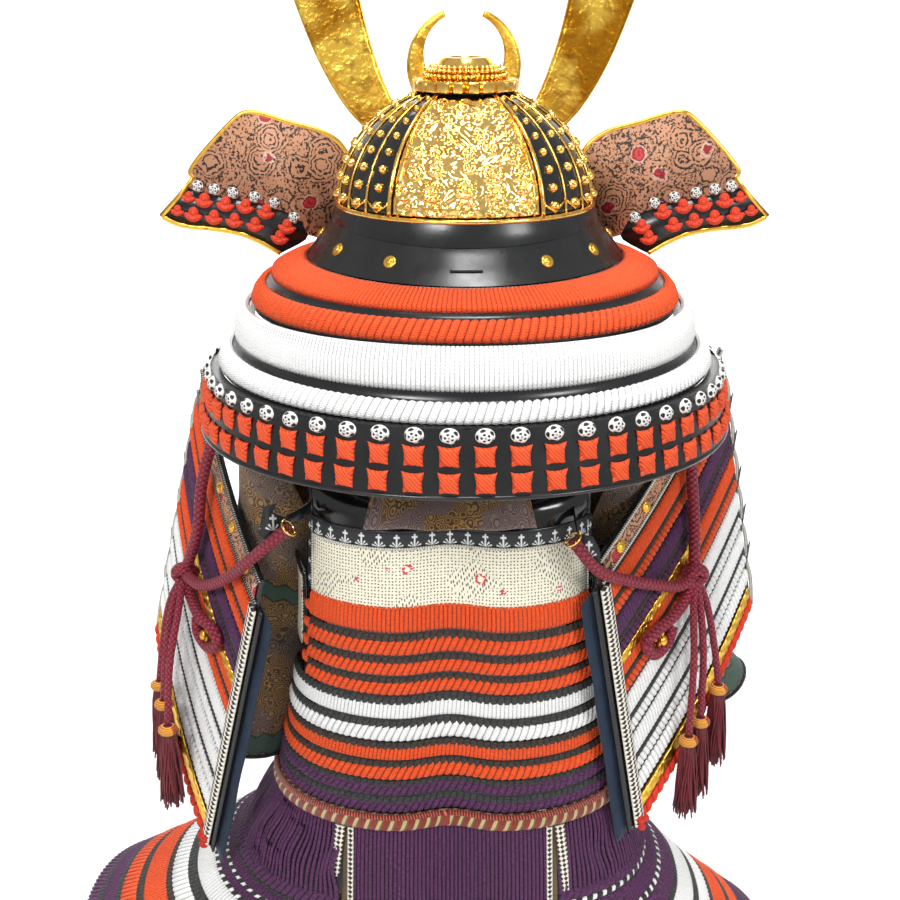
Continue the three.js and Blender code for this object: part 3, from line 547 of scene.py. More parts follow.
def round_braid(name, colour, dim, pitch=4.4):
    """A thick round braid: strands cross in a diamond lattice, with painted shade where they dive under and
    a painted highlight on their crests.
    """
    made, shader = finish(name, colour, 0.55, sheen=0.05)
    _, along, around = pattern()
    turns = around * 4.0
    a = sine((along / pitch + turns) * math.pi)
    b = sine((along / pitch - turns) * math.pi)
    height = maths("MAXIMUM", abs(a), abs(b))
    weave = maths("MINIMUM", abs(a), abs(b))
    lit = tuple(min(1.0, c * 1.5 + 0.02) for c in colour)
    # painted shade where the strands dive under
    tone = blend(limits(weave, 0.0, 0.45), dim, colour)
    # painted highlight on the crests of the strands
    tone = blend(limits(weave, 0.6, 0.95, 0.0, 0.5), tone, lit)
    coloured(shader, tone)
    bumped(shader, weave + height, 0.0009, 0.8)
    return made


def wrapped_rope():
    """The waist rope's cover: slanting bands of gold, red and olive thread, with fine turns round the rope.
    Painted shade darkens the side of the rope that faces the body and the grooves between the turns."""
    made, shader = finish("wrapped rope", (0.7, 0.55, 0.2), 0.5, sheen=0.15)
    _, along, around = pattern()
    around = fraction(around + 0.5)
    band = fraction(along / 8.4 + around * -1.6)
    gold = limits(abs(band - 0.3), 0.13, 0.17, 1.0, 0.0)
    olive = limits(abs(band - 0.52), 0.05, 0.08, 1.0, 0.0)
    threads = sine(along * 7.5)
    tone = blend(gold, (0.36, 0.035, 0.02), (0.86, 0.70, 0.32))
    tone = blend(olive, tone, (0.22, 0.17, 0.03))
    # painted shade: the side of the rope that faces the body is darkened
    side = limits(abs(around - 0.5), 0.26, 0.34)
    tone = blend(side * 0.9, tone, (0.20, 0.008, 0.018))
    # painted shade in the grooves between the fine turns
    tone = blend(limits(threads, -1.0, 0.0, 0.5, 0.0), tone, (0.05, 0.01, 0.01))
    coloured(shader, tone)
    bumped(shader, threads, 0.0005, 0.8)
    return made


def sprig_edging():
    """Black edging with a row of small white plants, one for each whole pattern number across.
    A plant is a fan of leaves under a short stem with a bar."""
    made, shader = finish("sprig edging", (0.02, 0.022, 0.024), 0.65)
    _, x, y = pattern()
    x = fraction(x) - 0.5
    reach = abs(x)
    low = y - 0.06
    far = maths("SQRT", x * x + low * low)
    turn = maths("ARCTAN2", x, low)
    leaves = limits(sine(maths("MULTIPLY_ADD", turn, 11.0, 1.57)), -0.1, 0.25)
    fan = leaves * limits(far, 0.38, 0.43, 1.0, 0.0)
    fan = fan * limits(low, 0.0, 0.04)
    stem = limits(reach, 0.04, 0.06, 1.0, 0.0) * limits(y, 0.88, 0.92, 1.0, 0.0)
    stem = stem * limits(low, 0.0, 0.04)
    bar_height = limits(abs(y - 0.7), 0.05, 0.08, 1.0, 0.0)
    bar = limits(reach, 0.15, 0.18, 1.0, 0.0) * bar_height
    white = maths("MAXIMUM", maths("MAXIMUM", fan, stem), bar)
    coloured(shader, blend(white, (0.02, 0.022, 0.024), (0.75, 0.77, 0.75)))
    bumped(shader, white, 0.0003, 0.6)
    return made


def plain_cloth(name, colour, rib=9.0):
    """Plain woven cloth: a fine square weave and a little unevenness in its colour."""
    made, shader = finish(name, colour, 0.8, sheen=0.1)
    spot = place()
    uneven = noise(spot, 45, 2)
    dim = tuple(c * 0.7 for c in colour)
    coloured(shader, blend(limits(uneven, 0.35, 0.65), dim, colour))
    bumped(shader, noise(spot, 100 * rib, 2), 0.0003, 0.5)
    return made


def thread(name, colour, dim):
    """Loose shiny thread: streaks along each strand."""
    made, shader = finish(name, colour, 0.45, sheen=0.08)
    _, along, around = pattern()
    streaks = noise(vector_of(along * 0.02, around * 6.0), 5.0, 2)
    coloured(shader, blend(limits(streaks, 0.35, 0.65), dim, colour))
    bumped(shader, streaks, 0.0004, 0.6)
    return made


# each braid's second colour is the painted shade of its valleys
ORANGE = braid("orange braid", (0.82, 0.082, 0.005), (0.22, 0.008, 0.003))
WHITE = braid("white braid", (0.90, 0.90, 0.88), (0.30, 0.30, 0.31), fleck=0.04)
PURPLE = braid("purple braid", (0.090, 0.018, 0.085), (0.010, 0.002, 0.010), fleck=0.3)
DARK = braid("dark lacing", (0.045, 0.033, 0.024), (0.004, 0.003, 0.003), fleck=0.3)
GREY_DARK = braid("dark grey lacing", (0.040, 0.042, 0.040), (0.004, 0.004, 0.004), fleck=0.3)
GLOSS = lacquer("gloss lacquer", (0.004, 0.004, 0.0045), 0.13, 0.3)
SATIN = lacquer("satin lacquer", (0.006, 0.0065, 0.007), 0.27, 0.1)
# polished, satin and relief gilt all get painted shade in the hollows of their dents
GOLD = gilt("polished gilt", (0.98, 0.61, 0.15), 0.17, 260, 0.00012)
SOFT_GOLD = gilt("satin gilt", (0.92, 0.53, 0.08), 0.28, 260, 0.0003)
RELIEF_GOLD = gilt("relief gilt", (1.0, 0.66, 0.20), 0.14, 60, 0.00001, (0.75, 0.38, 0.05))
HAMMERED = hammered_gilt()
CREAM_LEATHER = dotted_leather()
ROSE_LEATHER = rose_leather()
GOLD_BROCADE = brocade("gold brocade", (0.07, 0.030, 0.008), (0.50, 0.25, 0.05), 1.0)
# a round braid's second colour is its painted shade where the strands dive under
CRIMSON = round_braid("crimson braid", (0.25, 0.004, 0.024), (0.045, 0.001, 0.005))
BLACK_BRAID = round_braid("black braid", (0.022, 0.022, 0.024), (0.003, 0.003, 0.003))
COLLAR = checked_braid("collar braid", (0.85, 0.40, 0.03), (0.40, 0.03, 0.008), 2.4)
ROPE = wrapped_rope()
SPRIG = sprig_edging()
NAVY = plain_cloth("navy cloth", (0.005, 0.020, 0.048))
# painted shade: near-black cloth behind the skirt's hanging cords and in the neck plate's slot
SHADE_BACKING = plain_cloth("painted shade backing", (0.02, 0.012, 0.018))
CRIMSON_THREAD = thread("crimson thread", (0.20, 0.003, 0.012), (0.06, 0.001, 0.004))


# Lacing: cords side by side

CORD_STEPS = np.array([0, 0.17, 0.5, 0.83])
THIN_STEPS = np.array([0, 0.26, 0.74])


def lacing(base, pitch, height=1.6, slant=0.0, rows=7, plump=6.0, notch=0.06, depth=1.6, wrap=False,
        long=20.0):
    """A band of cords. base(u, v, out) gives the surface for u along the band and v down it.
    Each cord's section is half a circle, and its height falls towards its ends as the root of 1 - |2v -
    1|^plump.
    slant moves a cord's foot along the band, in cord widths. notch draws the valleys in at the ends."""
    probe_u = np.linspace(0, 1, 500)
    probe = base(probe_u, np.full(500, 0.5), np.zeros(500))
    arc = np.concatenate([[0], np.cumsum(np.linalg.norm(np.diff(probe, axis=0), axis=1))])
    count = max(3, round(arc[-1] / pitch))
    steps = THIN_STEPS if height < 1.7 else CORD_STEPS
    index = (np.arange(count)[:, None] + steps).ravel()
    if not wrap:
        index = np.append(index, count)
    swell = np.sqrt(np.maximum(0, 1 - (2 * frac(index) - 1) ** 2))[:, None]
    v = 0.5 - 0.5 * np.cos(np.linspace(0, np.pi, rows))[None]
    fade = np.sqrt(np.maximum(0, 1 - np.abs(2 * v - 1) ** plump))
    down = 0.5 + (v - 0.5) * (1 - notch * (1 - swell))
    at = (index[:, None] + slant * (down - 0.5)) / count
    at = at % 1.0 if wrap else np.clip(at, 0, 1)
    u = np.interp(at * arc[-1], arc, probe_u)
    outer = base(u, down, height * (0.15 + 0.85 * swell) * fade)
    inner = base(np.repeat(u[:, :1], 2, 1), np.array([[0.96, 0.04]]), np.full((len(index), 2), -depth))
    rings = np.concatenate([outer, inner], axis=1)
    along = np.append(index, count) if wrap else np.append(index, count + 1)
    around = np.concatenate([v[0] * long, [long, 0, 0]])
    return loft(rings, wrap, along, around)


def even(base, samples=400):
    """The same surface, with u running evenly along its middle line."""
    probe_u = np.linspace(0, 1, samples)
    probe = base(probe_u, np.full(samples, 0.5), np.zeros(samples))
    arc = np.concatenate([[0], np.cumsum(np.linalg.norm(np.diff(probe, axis=0), axis=1))])

    def spaced(u, v, out):
        return base(np.interp(u * arc[-1], arc, probe_u), v, out)
    return spaced


def shell(base, columns, rows, thickness, wrap=False, out=0.0, length=None, height=None):
    """A plain wall that follows base(u, v, out)."""
    u = np.linspace(0, 1, columns + 1)[:-1] if wrap else np.linspace(0, 1, columns)
    v = np.linspace(0, 1, rows)
    grid_u, grid_v = np.meshgrid(u, v, indexing="ij")
    outer = base(grid_u, grid_v, np.full(grid_u.shape, out))
    inner = base(grid_u, grid_v, np.full(grid_u.shape, out - thickness))
    along = np.append(u, 1.0) * (length or 1)
    return sheet_of(outer, inner, along, v * (height or 1), wrap)


# Cords and tassels

CORD_RADIUS = 4.4
TAIL_RADIUS = 2.8
CORDS = {"left": {"knot": (-206, 13, -69), "hanging": [(-93, 8, 34.4), (-97, 9, 45), (-124, 10, 56),
    (-150, 8, 62), (-172, 0, 48), (-186, 3, 10), (-191, 1, -26), (-200, 8, -54), (-206, 13, -69)],
    "cross": [(-206, 13, -69), (-190, -12, -68), (-168, -38, -53), (-144, -62, -27), (-126, -73, -8),
    (-113, -76, 4)], "loop": [(-206, 13, -69), (-200, 2, -84), (-190, -18, -92), (-179, -30, -96),
    (-174.6, -36.8, -104), (-182, -30, -112), (-192, -18, -105), (-193, -14, -94)],
    "tails": [[(-206, 13, -69), (-218, 12, -92), (-225, 8, -125), (-229, 4, -156)],
    [(-206, 13, -69), (-214, 0, -92), (-219, -12, -125), (-222, -18, -161)],
    [(-206, 13, -69), (-208, -10, -92), (-213, -28, -125), (-216, -38, -172)], ], },
    "right": {"knot": (186, -10, -60), "hanging": [(93, 8, 34.4), (97, 9, 45), (124, 12, 56), (152, 18, 64),
    (178, 10, 48), (182, 4, 10), (185, -1, -26), (185, -7, -47), (186, -10, -60)],
    "cross": [(186, -10, -60), (174, -20, -65), (151, -39, -56), (129, -56, -45), (106, -74, -30),
    (92, -81, -12), (86, -80, -3)], "loop": [(186, -10, -60), (178, -18, -78), (165, -33, -87),
    (154, -44, -91), (145, -53, -97), (152, -49, -108), (163, -38, -103), (167, -32, -93)],
    "tails": [[(186, -10, -60), (196, -8, -84), (204, -9, -120), (209, -10, -152)],
    [(186, -10, -60), (190, -17, -84), (193, -25, -120), (193, -29, -170)],
    [(186, -10, -60), (184, -22, -84), (184, -36, -120), (182, -44, -178)], ], }, }
TASSEL = {"head": 6.6, "foot": 9.6, "length": 70.0, "strands": 84}


def knot_of(middle, radius):
    """A cord wound into a ball: turns of cord round the ball's axis, each one leaning a little more."""
    turn = np.linspace(0, 5 * TAU, 150)
    lean = turn * 0.31
    spot = points_of(np.cos(turn), np.sin(turn) * np.cos(lean), np.sin(turn) * np.sin(lean)) * (radius - 3.2)
    return tube(np.asarray(middle) + spot * (1, 1, 0.85), 3.3, 8)


def tassel_strands(top, seed):
    """Strands that leave the head's foot, swell and hang: the radius eases from the neck's to the foot's."""
    rng = np.random.default_rng(seed)
    count = TASSEL["strands"]
    turn = np.arange(count) * 2.39996
    share = np.sqrt((np.arange(count) + 0.5) / count)
    drop = np.linspace(0, 1, 6)
    length = TASSEL["length"] * rng.uniform(0.88, 1.0, count)
    strands = []
    for k in range(count):
        spread = share[k] * (4.3 + (TASSEL["foot"] - 4.3) * drop ** 0.6)
        sway = turn[k] + 0.25 * np.sin(drop * 5 + k)
        z = top[2] - 6 - (length[k] - 6) * drop
        path = points_of(top[0] + spread * np.cos(sway), top[1] + spread * np.sin(sway), z)
        strands.append(tube(path, 1.0 - 0.3 * drop, 4))
    return merged(strands)


def make_cords():
    for number, (side, routes) in enumerate(CORDS.items()):
        node = f"guard_cord_{side}"
        held = [tube(curve_through(routes[key], 70), CORD_RADIUS, 12)
            for key in ("hanging", "cross", "loop")]
        held.append(knot_of(routes["knot"], 10.5))
        piece(f"cord_{side}", merged(held), CRIMSON, node)
        for k, route in enumerate(routes["tails"]):
            path = curve_through(route, 40)
            top = path[-1] - (0, 0, 0.4)
            label = f"tassel_{side}_{k + 1}"
            head = tube(points_of(top[0], top[1], top[2] - np.linspace(0, 11.2, 9)),
                TASSEL["head"] * np.sqrt(np.maximum(0.03, 1 - (np.linspace(-1, 1, 9)) ** 2)), 14)
            tuft = piece(f"{label}_tuft", merged([head, tassel_strands(top, SEED + 7 * number + k)]),
                CRIMSON_THREAD, label)
            profile = np.linspace(0, np.pi, 7)
            collar_path = points_of(top[0], top[1], top[2] - 1.2 - 7.6 * (profile / np.pi))
            collar = piece(f"{label}_collar", tube(collar_path, 4.6 + 3.2 * np.sin(profile) ** 0.7, 16),
                COLLAR)
            cord = piece(f"tail_{side}_{k + 1}", tube(path, TAIL_RADIUS, 10), CRIMSON, node)
            tuple(path[0] * MM)
            [tuple(p) for p in path * MM]


make_cords()


# Helmet

HELMET_X = 10.5
BOWL_RADIUS, BOWL_BACK, BOWL_FRONT = 88.5, 89.0, 97.0
BOWL_RIM_Z, BOWL_HEIGHT, BOWL_HOLE = 220.5, 79.5, 27.0
PANEL_HALF = np.radians(34)
NECK_HALF_DEPTH = 38.0


def on_helmet(turn, side, z, back=None, front=None):
    """A point round the helmet: turn 0 is the rear and a quarter turn is the right side."""
    back = side if back is None else back
    front = side if front is None else front
    depth = np.where(np.cos(turn) > 0, back, front)
    return points_of(side * np.sin(turn) + HELMET_X, -depth * np.cos(turn), z)


def on_bowl(turn, rise, out=0.0):
    """The bowl's ellipsoid: its radius goes with the rise's cosine and its height with the sine."""
    share, lift = np.cos(rise), np.sin(rise)
    grow = out * share
    return on_helmet(turn, BOWL_RADIUS * share + grow, BOWL_RIM_Z + (BOWL_HEIGHT + out) * lift,
        BOWL_BACK * share + grow, BOWL_FRONT * share + grow)


BOWL_TOP = math.acos(BOWL_HOLE / BOWL_RADIUS)
PLATE_TURN = (np.pi - 2 * PANEL_HALF) / 8


def bowl_base(u, v, out):
    return on_bowl(u * TAU, BOWL_TOP * (1 - v), out)


def make_bowl():
    """The bowl with its gilt ribs and rim, and studded plates between the ribs."""
    piece("bowl_shell", outwards(shell(bowl_base, 144, 24, 2.2, wrap=True)), GLOSS, "bowl")
    ribs, studs, axes = [], [], []
    rise = np.linspace(0.01, BOWL_TOP - 0.04, 26)
    for half in (0, np.pi):
        for k in range(9):
            turn = half + PANEL_HALF + k * PLATE_TURN
            ribs.append(tube(on_bowl(np.full(26, turn), rise, 0.5), np.linspace(1.05, 0.55, 26), 6))
        for k in range(8):
            turn = half + PANEL_HALF + (k + 0.5) * PLATE_TURN
            spots = np.linspace(0.085, BOWL_TOP - 0.13, 8)
            studs.append(on_bowl(np.full(8, turn), spots, 0.2))
            axes.append(on_bowl(np.full(8, turn), spots, 1.2) - studs[-1])
            foot = on_bowl(turn + PLATE_TURN * np.array([-0.46, -0.25, 0, 0.25, 0.46]),
                np.array([0.12, 0.08, 0.035, 0.08, 0.12]), 0.5)
            ribs.append(tube(foot, 0.8, 6))
    rim = np.linspace(0, TAU, 145)[:-1]
    ribs.append(tube(on_bowl(rim, np.full(144, -0.002), 0.9), 1.9, 8, wrap=True))
    piece("bowl_ribs", merged(ribs), GOLD)
    spots = np.concatenate(studs)
    scale = np.tile(np.linspace(1.1, 0.62, 8), 16)
    cone = outwards(dome(3.5, 3.8, 4, 8, 0.8, 0.85))
    piece("studs", repeated(*cone, spots, *facing(np.concatenate(axes)), scale), GOLD)


def make_relief():
    """Gilt relief at back and front: rosettes of petals over a ground of curling stems.
    A rosette is a ring of petals whose height is a half wave across the ring, cut by a wave round it, about
    a
    domed button. The ground is a product of bent waves."""
    rng = np.random.default_rng(SEED)
    columns, rows = 140, 116
    turn = np.linspace(-PANEL_HALF + 0.03, PANEL_HALF - 0.03, columns)[:, None]
    rise = np.linspace(0.035, 1.135, rows)[None]
    x = BOWL_RADIUS * np.cos(rise) * turn
    y = BOWL_RADIUS * rise + 0 * turn
    stems = np.sin(x * 0.40 + 1.8 * np.sin(y * 0.21)) * np.sin(y * 0.36 + 1.8 * np.sin(x * 0.19))
    height = 0.9 * np.abs(stems) - 0.3
    for row in range(7):
        level = 9.0 + row * 13.5
        width = BOWL_RADIUS * math.cos(level / BOWL_RADIUS) * PANEL_HALF
        count = max(1, round(width * 2 / 19.0))
        for k in range(count):
            cx = (-1 + 2 * (k + 0.5) / count) * width * 0.95 + (rng.uniform(-3, 3) if row else 0)
            cy = level + (rng.uniform(-3, 3) if row else 0)
            size = rng.uniform(5.0, 8.6) if row else 8.2
            far = np.hypot(x - cx, y - cy) / size
            around = np.arctan2(y - cy, x - cx)
            petals = rng.integers(6, 9)
            ring = np.sin(np.pi * np.clip((far - 0.30) / 0.70, 0, 1))
            flower = ring * (0.72 + 0.28 * np.abs(np.cos(petals * around / 2)))
            button = np.sqrt(np.clip(1 - (far / 0.30) ** 2, 0, 1))
            height = np.where(far < 1, -0.3 + 2.4 * np.maximum(flower, button), height)
    edge = np.clip(np.minimum(np.arange(columns), np.arange(columns)[::-1]) / 3, 0, 1)[:, None]
    outer = on_bowl(turn + 0 * rise, rise + 0 * turn, 0.9 + np.clip(height, -0.4, 2.4) * edge)
    inner = on_bowl(turn + 0 * rise, rise + 0 * turn, -0.6)
    piece("relief_rear", outwards(sheet_of(outer, inner)), RELIEF_GOLD, "relief_panel")
    few, turn = rise[:, ::4], turn[::4]
    front = on_bowl(np.pi - turn + 0 * few, few + 0 * turn, 0.9)
    front_in = on_bowl(np.pi - turn + 0 * few, few + 0 * turn, -0.6)
    piece("relief_front", outwards(sheet_of(front, front_in)), GOLD)
    ribs = []
    path_rise = np.linspace(0.02, 1.16, 30)
    for half in (0, np.pi):
        for side in (-1, 1):
            for inset, radius in ((0.0, 1.5), (0.075, 0.9)):
                turns = half + side * (PANEL_HALF - inset * np.linspace(1, 0.8, 30))
                ribs.append(tube(on_bowl(turns, path_rise, 1.4), radius * np.linspace(1.1, 0.8, 30), 6))
    piece("relief_ribs", merged(ribs), GOLD)


CROWN_Z = BOWL_RIM_Z + BOWL_HEIGHT * math.sqrt(1 - (BOWL_HOLE / BOWL_RADIUS) ** 2) + 0.4


def make_crown():
    """Crown ring: a petalled ring, a beaded ring and a smooth lip round the open hole.
    Each ring is a profile of radius and height turned about the helmet's middle."""
    turn = np.arange(192) / 192 * TAU
    petal = np.abs(2 * frac(turn / TAU * 22) - 1)
    low = [(10.5, 0.0), (36.2, 0.0), (36.6, 1.2), (36.6, 6.2), (35.6, 7.2), (26, 8.0), (10.5, 8.0)]
    rows = []
    for radius, z in low:
        cut = (radius > 30) * (4.0 * np.clip((petal - 0.66) / 0.34, 0, 1))
        rows.append(points_of((radius - cut) * np.sin(turn) + HELMET_X, -(radius - cut) * np.cos(turn),
            CROWN_Z + z))
    parts = [loft(np.stack(rows, 1), wrap=True)]
    lip = [(10.2, 7.8), (19.5, 7.8), (20.5, 14), (18.6, 16.5), (17.6, 19.4), (15.4, 21.4), (12, 21.5),
        (10.2, 19.5)]
    rows = [points_of(r * np.sin(turn[::3]) + HELMET_X, -r * np.cos(turn[::3]), CROWN_Z + z) for r, z in lip]
    parts.append(loft(np.stack(rows, 1), wrap=True))
    bead = outwards(dome(1.75, 2.3, 3, 8, 1.0))
    for radius, z, count in ((27.4, 9.8, 46), (26.2, 13.2, 44), (22.6, 15.2, 38)):
        around = np.arange(count) / count * TAU
        spots = points_of(radius * np.sin(around) + HELMET_X, -radius * np.cos(around),
            np.full(count, CROWN_Z + z))
        out = points_of(np.sin(around), -np.cos(around), np.full(count, 0.35))
        parts.append(repeated(*bead, spots, *facing(out)))
        ring = points_of((radius - 1) * np.sin(turn[::3]) + HELMET_X, -(radius - 1) * np.cos(turn[::3]),
            CROWN_Z + z)
        parts.append(tube(ring, 0.9, 6, wrap=True))
    piece("crown", merged([outwards(p) for p in parts]), GOLD, "crown_ring", sharp=35)


def band_base(u, v, out):
    """The brow band: from the bowl's foot out to the fold above the neck guard."""
    turn = u * TAU
    back = np.clip(np.cos(turn), 0, None) ** 2
    z = BOWL_RIM_Z - 0.4 + (209.8 - 5.3 * back - (BOWL_RIM_Z - 0.4)) * v
    radius = BOWL_RADIUS + 1.6 + (93.5 - BOWL_RADIUS - 1.6) * v + 0.6 * np.sin(v * np.pi) + out
    return on_helmet(turn, radius, z, radius + 0.5, radius + 8.5)


def visor_base(u, v, out):
    """The visor: a shallow peak whose reach follows half an ellipse."""
    spread = np.radians(58)
    turn = np.pi + (2 * u - 1) * spread
    reach = 34 * np.sqrt(np.clip(1 - (2 * u - 1) ** 2, 0.02, 1))
    radius = 92.8 + (0.7 + reach) * v
    z = 209.4 + (206 - reach * 0.35 - 209.4) * v + out
    return on_helmet(turn, radius, z, radius, radius + 8.5)


def end_turn(radius, reach=NECK_HALF_DEPTH):
    return np.pi / 2 + np.arcsin(reach / radius)


def neck_surface(profile):
    """The surface of a neck lame: a profile of half width, side height and back height, swept round the
    helmet."""
    profile = np.asarray(profile, float)
    step = np.concatenate([[0], np.cumsum(np.hypot(np.diff(profile[:, 0]), np.diff(profile[:, 1])))])
    step /= step[-1]

    def base(u, v, out):
        r, side, rear = (np.interp(v, step, profile[:, k]) for k in range(3))
        nearby = 0.04
        ahead = [np.interp(np.clip(v + nearby, 0, 1), step, profile[:, k]) for k in range(2)]
        behind = [np.interp(np.clip(v - nearby, 0, 1), step, profile[:, k]) for k in range(2)]
        dr, dz = ahead[0] - behind[0], ahead[1] - behind[1]
        size = np.maximum(np.hypot(dr, dz), 1e-6)
        turn = (2 * u - 1) * end_turn(r)
        back = np.clip(np.cos(turn), 0, None) ** 2
        return on_helmet(turn, r - out * dz / size, side + (rear - side) * back + out * dr / size)

    return base


NECK_PLATE = [(92.3, 211.2, 206.2), (93.8, 209.2, 203.9), (95.4, 206.5, 201.8), (99.5, 201, 197),
    (105.4, 193, 190), (112, 185.4, 183.4)]
NECK_ROWS = {"neck_lame_1": [("plate", [(106, 183.4, 181), (113, 184, 181.8), (136, 174.4, 173.4),
    (136.8, 171, 171), (139, 167.4, 168.4), (143, 166.4, 167.6), (149.6, 153.5, 156.5),
    (149.6, 149.5, 152.5)]), ("wide", ORANGE, [(111.5, 184.4, 182.4), (116, 184.0, 181.8),
    (128, 179.6, 178.2), (136, 175.2, 174.4), (137, 171.6, 171.6)]),
    ("twist", ORANGE, [(141.5, 167.8, 169.0), (144.6, 165.8, 167.4), (149.4, 156.6, 159.2),
    (150.3, 153.0, 155.8)]), ], "neck_lame_2": [("plate",
    [(152.5, 150.5, 154), (159, 149.6, 153.6), (162.4, 130, 129.5), (163.6, 123.8, 121.6),
    (168, 123.2, 121.2), (174.4, 113.5, 113.6), (174, 107.8, 108.8)]),
    ("wide", WHITE, [(153.5, 151.6, 155.2), (158.5, 151.4, 155), (161.5, 147, 150.5), (163, 136, 137),
    (163.6, 129, 128.5)]), ("twist", WHITE, [(166.2, 124.4, 122.6), (169.2, 123.4, 122.0),
    (174.4, 114.6, 114.2), (175.0, 110.6, 111.0)]), ], }


def make_neck_guard():
    piece("brow_band_wall", outwards(shell(band_base, 144, 8, 2.2, wrap=True)), SATIN, "brow_band",
        sharp=50)
    piece("visor_wall", outwards(shell(visor_base, 60, 8, 2.2)), SATIN, "visor", sharp=50)
    plate = neck_surface(NECK_PLATE)
    piece("neck_plate_wall", outwards(shell(plate, 140, 12, 2.0)), SATIN, "neck_plate", sharp=50)
    for node, rows in NECK_ROWS.items():
        for k, (kind, *rest) in enumerate(rows):
            if kind == "plate":
                wall = shell(neck_surface(rest[0]), 110, 20, 1.8)
                piece(f"{node}_plate", outwards(wall), SATIN, node, sharp=50)
                continue
            material, profile = rest
            base = neck_surface(profile)
            if kind == "wide":
                part = lacing(base, 3.0, 1.5, rows=5, plump=8, notch=0.07, long=22)
            else:
                part = lacing(base, 5.6, 3.0, slant=-1.0, rows=5, plump=2.6, notch=0.24, long=18)
            piece(f"{node}_{kind}_lacing", outwards(part), material, node)
    make_rivets()
    make_knot_lame()


def make_rivets():
    """Chrysanthemum rivets round the neck plate: a petalled disc with a button, and a slot at the back drawn
    as a strip of painted shade.
    """
    turn = np.arange(32) / 32 * TAU
    rows = []
    for share, lift in ((1.0, -0.6), (1.0, 0.3), (0.82, 1.15), (0.6, 0.8), (0.5, 0.9), (0.42, 1.7),
            (0.15, 2.0), (0.02, 2.0)):
        wave = 1 + 0.07 * np.cos(16 * turn) * (share > 0.7)
        rows.append(points_of(4.6 * share * wave * np.cos(turn), 4.6 * share * wave * np.sin(turn), lift))
    rivet = outwards(loft(np.stack(rows)))
    base = neck_surface(NECK_PLATE)
    u = 0.5 + np.array([-92, -57, -29, 31, 57, 92]) / 2 / np.degrees(end_turn(103))
    v = np.full(6, 0.52)
    spots = base(u, v, np.zeros(6))
    out = base(u, v, np.ones(6)) - spots
    piece("rivets", repeated(*rivet, spots, *facing(out)), SOFT_GOLD)
    # painted shade: the slot is a dark strip laid on the plate
    slit = base(0.5 + np.linspace(-0.026, 0.026, 9), np.full(9, 0.62), np.full(9, 0.1))
    piece("plate_slot", tube(slit, 1.5, 8, flat=0.5), SHADE_BACKING, "neck_plate")


# The lowest neck lame: a plain black plate with round knots and two rows of crossed knots

KNOT_COLUMNS = 30


def knot_plate(u, v, out):
    """A slightly flared cylinder: half width 182.4 at its top and 190.6 at its foot."""
    side = 108.5 + (64.6 - 108.5) * v
    rear = 110.6 + (68 - 110.6) * v
    turn = (2 * u - 1) * end_turn(186.0)
    back = np.clip(np.cos(turn), 0, None) ** 2
    return on_helmet(turn, 182.4 + 8.2 * v + out, side + (rear - side) * back)


def crossed_knot(half, height):
    """A square knot of flat cord with pinched sides. Its height is a cushion's, and a step higher along the
    diagonal where the upper strands lie. The pattern numbers are its two sides, from -1 to 1."""
    side = np.linspace(-1, 1, 12)
    a, b = np.meshgrid(side, side, indexing="ij")
    pinch_a, pinch_b = 1 - 0.20 * (1 - b ** 2), 1 - 0.16 * (1 - a ** 2)
    cushion = (np.clip(1 - a ** 6, 0, 1) * np.clip(1 - b ** 6, 0, 1)) ** 0.5
    over = np.clip((1.12 - np.abs(a + b)) / 0.14, 0, 1)
    strands = 0.32 * (np.sin((a + b) * 14.3) * over + np.sin((a - b) * 14.3) * (1 - over))
    rise = cushion * (height * (0.70 + 0.30 * over) + strands)
    outer = points_of(a * half * pinch_a, b * half * pinch_b, rise + 0.1)
    inner = outer * (1, 1, 0) - (0, 0, 0.8)
    return outwards(sheet_of(outer, inner, side, side))


def make_knot_lame():
    plate = shell(knot_plate, 160, 12, 2.2)
    flange_rows = [(0.0, 0.0), (-7.3, 0.0), (-7.3, -1.8), (-2.2, -1.8)]
    u = np.linspace(0, 1, 160)
    rows = [knot_plate(u, np.full(160, 0.0 - dz / 42.6 * 1.0), np.full(160, float(dr))) for dr,
        dz in flange_rows]
    flange = loft(np.stack(rows, 1))
    rim = tube(knot_plate(u, np.full(160, 0.985), np.full(160, -0.8)), 1.7, 8)
    piece("knot_lame_plate", merged([outwards(plate), outwards(flange), outwards(rim)]), SATIN,
        "neck_lame_3", sharp=50)
    columns = (np.arange(KNOT_COLUMNS) + 0.5) / KNOT_COLUMNS
    columns = columns[(np.abs(columns - 0.5) > 0.001)]
    spots, outs, scales = [], [], []
    for level, size in ((0.395, 1.0), (0.775, 1.0)):
        base = knot_plate(columns, np.full(len(columns), level), np.full(len(columns), 0.2))
        spots.append(base)
        outs.append(knot_plate(columns, np.full(len(columns), level), np.full(len(columns), 1.2)) - base)
        scales.append(np.full(len(columns), size))
    knot = crossed_knot(7.2, 3.0)
    piece("crossed_knots", repeated(*knot, np.concatenate(spots), *facing(np.concatenate(outs)),
        np.concatenate(scales)), KNOT_ORANGE, "neck_lame_3")
    base = knot_plate(columns, np.full(len(columns), 0.10), np.full(len(columns), 0.0))
    out = knot_plate(columns, np.full(len(columns), 0.10), np.full(len(columns), 1.0)) - base
    bead = dome(6.2, 4.2, 6, 18, 0.8)
    bead = (bead[0] * (1, 0.84, 1), bead[1], bead[2])
    piece("round_knots", repeated(*bead, base, *facing(out)), BEAD_BRAID, "neck_lame_3")


